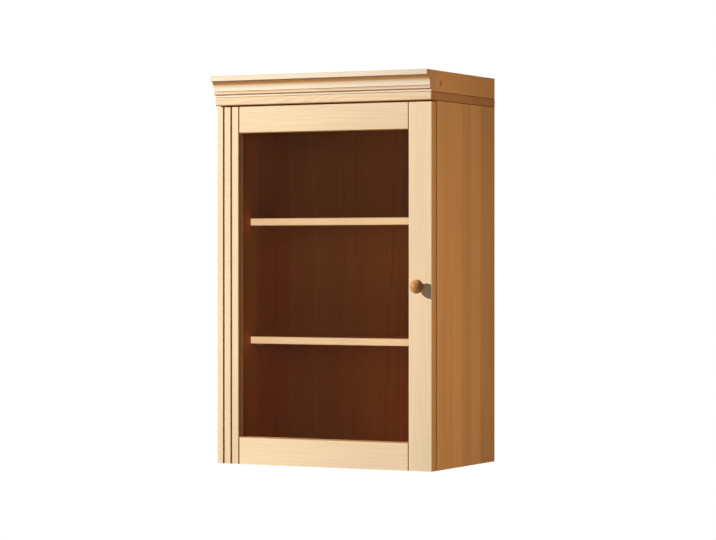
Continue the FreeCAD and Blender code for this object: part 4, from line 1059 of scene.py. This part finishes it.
@dataclass
class PivotHinges(SubAssembly):
    """The plates at the door's ends, on which it swings, with their screws and washer."""

    screw: Screw = Screw(length=15 * MM)
    foot_inset: float = 9 * MM
    foot_length: float = 40 * MM
    first_inset: float = 13 * MM
    last_inset: float = 8 * MM
    strap_half: float = 5 * MM
    nose_radius: float = 4.5 * MM

    def strap_places(self) -> list[tuple[float, float]]:
        """Places of the two screws of a strap plate, as x and y."""
        low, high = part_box("top_pivot_plate")
        line = high.y - self.strap_half
        return [(low.x + self.nose_radius + self.first_inset, line), (high.x - self.last_inset, line)]

    def build(self) -> None:
        """Cut the screws of the fixed plates and of the door's plates."""
        foot_low, foot_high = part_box("bottom_pivot_plate")
        middle = (foot_low.x + foot_high.x) / 2
        rows = (foot_high.y - self.foot_length + self.foot_inset, foot_high.y - self.foot_inset)
        fixed = [Seat((middle, row, foot_low.z), UPWARD) for row in rows]
        head_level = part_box("top_panel")[0].z
        fixed += [Seat((x, y, head_level), UPWARD) for x, y in self.strap_places()]
        door_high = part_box("door_top_plate")[1].z
        door_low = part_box("door_bottom_plate")[0].z
        hung = [Seat((x, y, door_high), DOWNWARD) for x, y in self.strap_places()]
        hung += [Seat((x, y, door_low), UPWARD) for x, y in self.strap_places()]
        sets = {"pivot_plate_screws": (Body.CARCASS, fixed), "door_plate_screws": (Body.DOOR, hung)}
        for name, (body, seats) in sets.items():
            skin = joined([self.screw.skin(seat) for seat in seats])
            add_piece(name + "_cut", skin, STEEL, body, Slot.STEEL, name)

    def dress(self) -> None:
        """Plate the steel and leave the washer white."""
        for node in ("bottom_pivot_plate", "top_pivot_plate", "door_top_plate", "door_bottom_plate"):
            dress_node(node, STEEL)
        dress_node("pivot_washer", WHITE_PLASTIC)


@dataclass
class Catch(SubAssembly):
    """The magnetic catch on the right side, its strike on the door, and the felt bumpers."""

    housing_screw: Screw = Screw(length=26 * MM)
    strike_screw: Screw = Screw(length=14 * MM)
    screw_spacing: float = 30 * MM
    bumper_radius: float = 4 * MM
    bumper_columns: int = 56
    bumper_rows: int = 14
    hole_top: float = 3.05 * MM
    hole_bottom: float = 1.65 * MM
    plate_columns: int = 96
    corner_power: float = 7.0
    edge_round: float = 0.3 * MM

    HOLE_WALL_SHARE = 0.15
    FACE_SHARE = 0.8
    EDGE_SHARES = ((0.82, 1.0), (0.97, 0.55))
    EDGE_ROUND_SHARE = 0.19
    EDGE_ROWS = 9
    WALL_SHARES = ((0.96, 0.3), (0.95, 0.0), (0.5, 0.0))
    RIPPLES = ((0.012, 7, 0.0), (0.009, 17, 1.0))

    def build(self) -> None:
        """Cut the screws, stamp the strike and press the bumpers."""
        low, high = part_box("catch_housing")
        row, level = (low.y + high.y) / 2, (low.z + high.z) / 2
        offsets = (-self.screw_spacing / 2, self.screw_spacing / 2)
        seats = [Seat((low.x, row, level + step), RIGHTWARD) for step in offsets]
        skins = [self.housing_screw.skin(seat) for seat in seats]
        add_piece("catch_screws_cut", joined(skins), STEEL, Body.CARCASS, Slot.STEEL, "catch_screws")
        low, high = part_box("strike_plate")
        face = ((low.x + high.x) / 2, high.y, (low.z + high.z) / 2)
        skin = self.strike_screw.skin(Seat(face, FRONTWARD))
        add_piece("strike_screw_cut", skin, STEEL, Body.DOOR, Slot.STEEL, "strike_screw")
        add_piece("strike_plate_stamped", self.strike_skin(), STEEL, Body.DOOR, Slot.STEEL, "strike_plate")
        low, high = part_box("door_bumpers")
        pads = []
        for height in (low.z + self.bumper_radius, high.z - self.bumper_radius):
            seat = Seat(((low.x + high.x) / 2, low.y, height), REARWARD)
            pads.append(self.bumper_skin(seat, high.y - low.y))
        add_piece("door_bumpers_pressed", joined(pads), FELT, Body.DOOR, Slot.FELT, "door_bumpers")

    def strike_skin(self) -> Skin:
        """The strike plate with rounded corners and a countersunk hole.

        Round the hole each column goes up the countersink, over the face to an outline where the
        powers of x and z add up to one, round the edge, and back below.

        Returns:
            The closed surface.
        """
        low, high = (np.array(corner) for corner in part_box("strike_plate"))
        angle = np.linspace(0.0, 2 * math.pi, self.plate_columns, endpoint=False)
        half = (high - low) / 2
        power = 2 / self.corner_power
        across = half[0] * np.sign(np.cos(angle)) * np.abs(np.cos(angle)) ** power
        upward = half[2] * np.sign(np.sin(angle)) * np.abs(np.sin(angle)) ** power
        hole = np.stack((np.cos(angle), np.sin(angle)), axis=-1)
        outline = np.stack((across, upward), axis=-1)
        wide, narrow = self.hole_top, self.hole_bottom
        thick, edge = high[1] - low[1], self.edge_round
        trimmed = outline * (1 - edge / np.hypot(across, upward))[:, None]
        sections = [
            (narrow * hole, 0.0),
            (narrow * hole, self.HOLE_WALL_SHARE * thick),
            (wide * hole, thick),
            ((wide * hole + trimmed) / 2, thick),
            (trimmed, thick),
            (outline, thick - edge),
            (outline, edge),
            (trimmed, 0.0),
        ]
        flat = np.array([section for section, _ in sections])
        lift = np.array([depth for _, depth in sections])[:, None] + np.zeros(self.plate_columns)
        middle = (low + high) / 2
        points = np.stack((middle[0] + flat[..., 0], low[1] + lift, middle[2] + flat[..., 1]), axis=-1)
        quads = ring_quads(len(sections), self.plate_columns, closed_rows=True)
        return Skin(points.reshape(-1, 3), quads, np.empty((0, 3), int)).outward()

    def bumper_skin(self, seat: Seat, thick: float) -> Skin:
        """A felt pad: a flat disc whose edge is rounded and ripples a little with the angle.

        Each ripple has its height as a share of the radius, its waves to a turn and its start.

        Args:
            seat: Where the pad sits.
            thick: How thick the pad is.

        Returns:
            The closed surface.
        """
        radius = self.bumper_radius
        share = np.linspace(HUB_SHARE, 1.0, self.bumper_rows)
        face = np.stack((radius * self.FACE_SHARE * share, np.full_like(share, thick)), axis=-1)
        start, end = np.array(self.EDGE_SHARES) * (radius, thick)
        edge = arc(start, end, self.EDGE_ROUND_SHARE * radius, -1, self.EDGE_ROWS)
        profile = np.vstack((face, edge, np.array(self.WALL_SHARES) * (radius, thick)))
        angle = np.linspace(0.0, 2 * math.pi, self.bumper_columns, endpoint=False)
        waves = (height * np.sin(count * angle + begin) for height, count, begin in self.RIPPLES)
        ripple = sum(waves, 1.0)
        return turned(profile[:, :1] * ripple, profile[:, 1:] + 0 * angle, seat)

    def dress(self) -> None:
        """White housing, dark magnet."""
        dress_all({"catch_housing": WHITE_PLASTIC, "catch_magnet": FERRITE})


@dataclass
class Door(SubAssembly):
    """The glazed frame: fluted left stile, plain right stile, rails, pane and beads."""

    brad_radius: float = 0.9 * MM
    brad_dome: float = 0.25 * MM
    brad_spacing: float = 110 * MM
    brad_inset: float = 40 * MM
    brad_columns: int = 20
    brad_rows: int = 7

    CROWN_SHARES = (0.98, 0.05)
    BRAD_FOOT_SHARE = 0.5

    def dress(self) -> None:
        """Give the frame pale pine with painted shade in its flutes and joints and on its edges, grain along
        each stick, and set the clear pane.
        """
        plain = {"contrast": 0.10, "two_faced": True}
        # a narrow facing span puts painted shade on the flute and joint walls
        grooved = {"facing": (0.72, 0.95), **plain}
        bead = {"contrast": 0.14, "two_faced": True}
        pieces = {
            "door_stile_left": Pine(DOOR_STAIN_AND_SHADE, Cut.STILE, 41, **grooved),
            "door_stile_right": Pine(CLOSING_STAIN_AND_SHADE, Cut.STILE, 44, **plain),
            "door_rail_top": Pine(DOOR_STAIN_AND_SHADE, Cut.RAIL, 47, **grooved),
            "door_rail_bottom": Pine(DOOR_STAIN_AND_SHADE, Cut.RAIL, 50, **grooved),
            "glazing_bead_left": Pine(DOOR_STAIN_AND_SHADE, Cut.STILE, 53, **bead),
            "glazing_bead_right": Pine(DOOR_STAIN_AND_SHADE, Cut.STILE, 54, **bead),
            "glazing_bead_top": Pine(DOOR_STAIN_AND_SHADE, Cut.RAIL, 56, **bead),
            "glazing_bead_bottom": Pine(DOOR_STAIN_AND_SHADE, Cut.RAIL, 57, **bead),
            "glass_pane": ClearGlass(),
        }
        dress_all(pieces)

    def brad_places(self) -> np.ndarray:
        """Places of the brads, evenly along the middle of each bead, on its rear face.

        Returns:
            One place to a row.
        """
        places = []
        for side in ("left", "right", "top", "bottom"):
            low, high = (np.array(corner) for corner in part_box("glazing_bead_" + side))
            axis = 2 if side in ("left", "right") else 0
            run = high[axis] - low[axis] - 2 * self.brad_inset
            count = int(round(run / self.brad_spacing)) + 1
            spots = np.tile((low + high) / 2, (count, 1))
            spots[:, axis] = np.linspace(low[axis] + self.brad_inset, high[axis] - self.brad_inset, count)
            spots[:, 1] = high[1]
            places.append(spots)
        return np.vstack(places)

    def build(self) -> None:
        """Drive small domed brads through the beads."""
        radius, dome = self.brad_radius, self.brad_dome
        crown = np.linspace(*self.CROWN_SHARES, self.brad_rows)
        head = np.stack((radius * crown, dome * (1 - crown ** 2)), axis=-1)
        foot = [(self.BRAD_FOOT_SHARE * radius, -dome), (radius, -dome)]
        profile = np.vstack((foot, head))
        seats = [Seat(tuple(spot), REARWARD) for spot in self.brad_places()]
        skins = [plain_turned(profile, self.brad_columns, seat) for seat in seats]
        add_piece("glazing_brads", joined(skins), STEEL, Body.DOOR, Slot.STEEL)


@dataclass
class Knob(SubAssembly):
    """The turned knob on the right stile and the machine screw that holds it."""

    base_radius: float = 9 * MM
    neck_radius: float = 7.5 * MM
    radius: float = 14.5 * MM
    neck_curve: float = 18 * MM
    base_ease: float = 0.4 * MM
    columns: int = 128
    neck_rows: int = 18
    flare_rows: int = 22
    dome_rows: int = 40
    foot_share: float = 0.4
    screw: Screw = Screw(
        length=36.6 * MM, head_radius=4 * MM, shank_radius=2 * MM, pitch=0.9 * MM, pan_height=2.6 * MM
    )

    def build(self) -> None:
        """Turn the knob and cut its screw."""
        low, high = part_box("door_knob")
        middle_x, level = (low.x + high.x) / 2, (low.z + high.z) / 2
        seat = Seat((middle_x, high.y, level), FRONTWARD)
        skin = plain_turned(self.profile(high.y - low.y), self.columns, seat)
        # the knob's turned sides take the flank tone, a painted shade
        finish = Pine(KNOB_STAIN_AND_SHADE, Cut.TURNED, 59, contrast=0.2, roughness=0.42, gloss=0.2)
        add_piece("door_knob_turned", skin, finish, Body.DOOR, Slot.PALE_PINE, "door_knob")
        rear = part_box("knob_screw")[1].y
        skin = self.screw.skin(Seat((middle_x, rear, level), FRONTWARD))
        add_piece("knob_screw_cut", skin, STEEL, Body.DOOR, Slot.STEEL, "knob_screw")

    def profile(self, projection: float) -> np.ndarray:
        """Points of (reach, rise): a hollow neck, a quarter-round flare and a half-round dome.

        Args:
            projection: How far the knob stands out.

        Returns:
            The profile from the stile outwards.
        """
        widest = projection - self.radius
        flare = self.radius - self.neck_radius
        neck = (self.neck_radius, widest - flare)
        foot = [(self.foot_share * self.base_radius, 0.0), (self.base_radius - self.base_ease, 0.0)]
        hollow = arc((self.base_radius, self.base_ease), neck, self.neck_curve, 1, self.neck_rows)
        round_edge = arc(neck, (self.radius, widest), flare, -1, self.flare_rows)[1:]
        dome = arc((self.radius, widest), (0.0, projection), self.radius, -1, self.dome_rows)[1:-1]
        return np.vstack((foot, hollow, round_edge, dome))


# Studio
SHELVES = ("upper_shelf", "lower_shelf")
KNOB = ("door_knob_turned",)
FACE = (
    "door_stile_left", "door_stile_right", "door_rail_top", "door_rail_bottom",
    "cornice_moulding", "top_panel", *KNOB,
)
DOOR_FRONT: Point = (0.0, -0.31, -0.31)


@dataclass(frozen=True)
class Lamp:
    """A soft rectangular lamp that lights a white card at its aim to a given level."""

    name: str
    place: Point
    aim: Point
    width: float
    height: float
    level: float
    reach: Reach = Reach.ALL
    names: tuple[str, ...] = ()

    def build(self) -> None:
        """Hang the lamp; its power is the level times the square of its distance."""
        run = Vector(self.aim) - Vector(self.place)
        light = bpy.data.lights.new(self.name, "AREA")
        light.shape = "RECTANGLE"
        light.size = self.width
        light.size_y = self.height
        light.energy = self.level * WATTS_PER_LEVEL * run.length_squared
        lamp = bpy.data.objects.new(self.name, light)
        lamp.location = self.place
        lamp.rotation_mode = "QUATERNION"
        lamp.rotation_quaternion = run.to_track_quat("-Z", "Y")
        lamp.visible_camera = False
        bpy.context.scene.collection.objects.link(lamp)
        if self.reach is not Reach.ALL:
            self.limit(lamp)
        LOG.info("hung %s", self.name)

    def limit(self, lamp: bpy.types.Object) -> None:
        """Keep the lamp to the named nodes and pieces, or off them.

        Args:
            lamp: The lamp's object.
        """
        group = bpy.data.collections.new(self.name + "_reach")
        for name in self.names:
            group.objects.link(frame["nodes"].get(name) or bpy.data.objects[name])
        if self.reach is Reach.ALL_BUT:
            for entry in group.collection_objects:
                entry.light_linking.link_state = "EXCLUDE"
        lamp.light_linking.receiver_collection = group


@dataclass(frozen=True)
class Viewpoint:
    """The photograph's camera: what it looks at, from where, and through which lens."""

    target: Point = (0.0226, -0.192, -0.2814)
    distance: float = 5.676
    azimuth: float = 27.04
    tilt: float = -0.284
    lens: float = 134.1
    sensor: float = 36.0

    def build(self) -> None:
        """Place the camera level with its target, and tip it down by its tilt."""
        azimuth, tilt = math.radians(self.azimuth), math.radians(self.tilt)
        back = Vector((math.sin(azimuth), -math.cos(azimuth), 0.0))
        look = Vector((-back.x * math.cos(tilt), -back.y * math.cos(tilt), math.sin(tilt)))
        data = bpy.data.cameras.new("photo_camera")
        data.lens = self.lens
        data.sensor_width = self.sensor
        camera = bpy.data.objects.new("photo_camera", data)
        camera.location = Vector(self.target) + back * self.distance
        camera.rotation_mode = "QUATERNION"
        camera.rotation_quaternion = look.to_track_quat("-Z", "Y")
        bpy.context.scene.collection.objects.link(camera)
        bpy.context.scene.camera = camera
        LOG.info("placed the camera")


@dataclass
class Studio:
    """A pale floor below the hanging cabinet, soft lamps round it and a white surround."""

    floor_level: float = -1.25
    floor_radius: float = 2.6
    floor_glow: float = 0.28
    floor_rows: int = 24
    floor_columns: int = 96
    ambient: float = 0.04
    lamps: tuple[Lamp, ...] = (
        Lamp("key_lamp", (-2.60, -2.79, 1.05), DOOR_FRONT, 0.28, 0.28, 1.31, Reach.ALL_BUT, SHELVES),
        Lamp("shelf_lamp", (5.70, -12.30, -0.20), (0.0, -0.20, -0.33), 1.5, 1.5, 1.0, Reach.ONLY, SHELVES),
        Lamp("front_lamp", (1.90, -4.10, 0.10), DOOR_FRONT, 1.60, 1.60, 0.10, Reach.ALL_BUT, FACE),
        Lamp("right_lamp", (0.85, -0.33, -0.30), (0.25, -0.28, -0.30), 0.20, 1.30, 0.78, Reach.ALL_BUT, KNOB),
        Lamp("rear_lamp", (-0.80, 3.40, 0.70), (0.0, 0.0, -0.31), 2.00, 2.00, 0.55),
        Lamp("top_lamp", (0.0, -0.10, 2.80), (0.0, -0.10, 0.10), 1.60, 1.60, 0.26),
    )

    def build(self) -> None:
        """Set the stage: floor, lamps, surround and view transform."""
        self.floor()
        for lamp in self.lamps:
            lamp.build()
        self.surround()
        bpy.context.scene.view_settings.view_transform = "Standard"

    def floor(self) -> None:
        """A round floor that faces up, on a grid of radius and angle closed by a middle point."""
        rows, columns = self.floor_rows, self.floor_columns
        radius = np.linspace(HUB_SHARE, 1.0, rows)[:, None] * self.floor_radius
        angle = np.linspace(0.0, 2 * math.pi, columns, endpoint=False)
        flat = np.stack((radius * np.cos(angle), radius * np.sin(angle)), axis=-1).reshape(-1, 2)
        flat = np.vstack((flat, np.zeros((1, 2))))
        points = np.column_stack((flat, np.full(len(flat), self.floor_level)))
        first = np.arange(columns)
        middle = np.stack((np.full(columns, len(flat) - 1), first, np.roll(first, -1)), axis=-1)
        mesh = bpy.data.meshes.new("studio_floor")
        mesh.from_pydata(points.tolist(), [], ring_quads(rows, columns)[:, ::-1].tolist() + middle.tolist())
        paint = FloorPaint(self.floor_radius, self.floor_glow)
        centre = Vector((0.0, 0.0, self.floor_level))
        mesh.materials.append(paint.material("studio_floor_paint", (centre, centre)))
        floor = bpy.data.objects.new("studio_floor", mesh)
        bpy.context.scene.collection.objects.link(floor)

    def surround(self) -> None:
        """White to the eye, to gloss and through glass; a low even light to all else."""
        world = bpy.data.worlds.new("white_surround")
        world.use_nodes = True
        bpy.context.scene.world = world
        nodes = Nodes(world.node_tree)
        inputs = world.node_tree.nodes["Background"].inputs
        nodes.feed(inputs["Color"], WHITE)
        nodes.feed(inputs["Strength"], nodes.span(nodes.seen(), 0.0, 1.0, self.ambient, 1.0))


def clear_stage() -> None:
    """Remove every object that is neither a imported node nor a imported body."""
    kept = {item.name for item in (*frame["nodes"].values(), *frame["bodies"].values())}
    for item in list(bpy.data.objects):
        if item.name not in kept:
            bpy.data.objects.remove(item)


def main() -> None:
    """Build and dress the cabinet's sub-assemblies, then the studio and the camera."""
    logging.basicConfig(level=logging.INFO, format="%(name)s: %(message)s")
    clear_stage()
    for group in (Carcass(), Cornice(), ShelfSet(), PivotHinges(), Catch(), Door(), Knob()):
        LOG.info("sub-assembly %s", type(group).__name__)
        group.build()
        group.dress()
    Studio().build()
    Viewpoint().build()


if __name__ == "__main__":
    main()
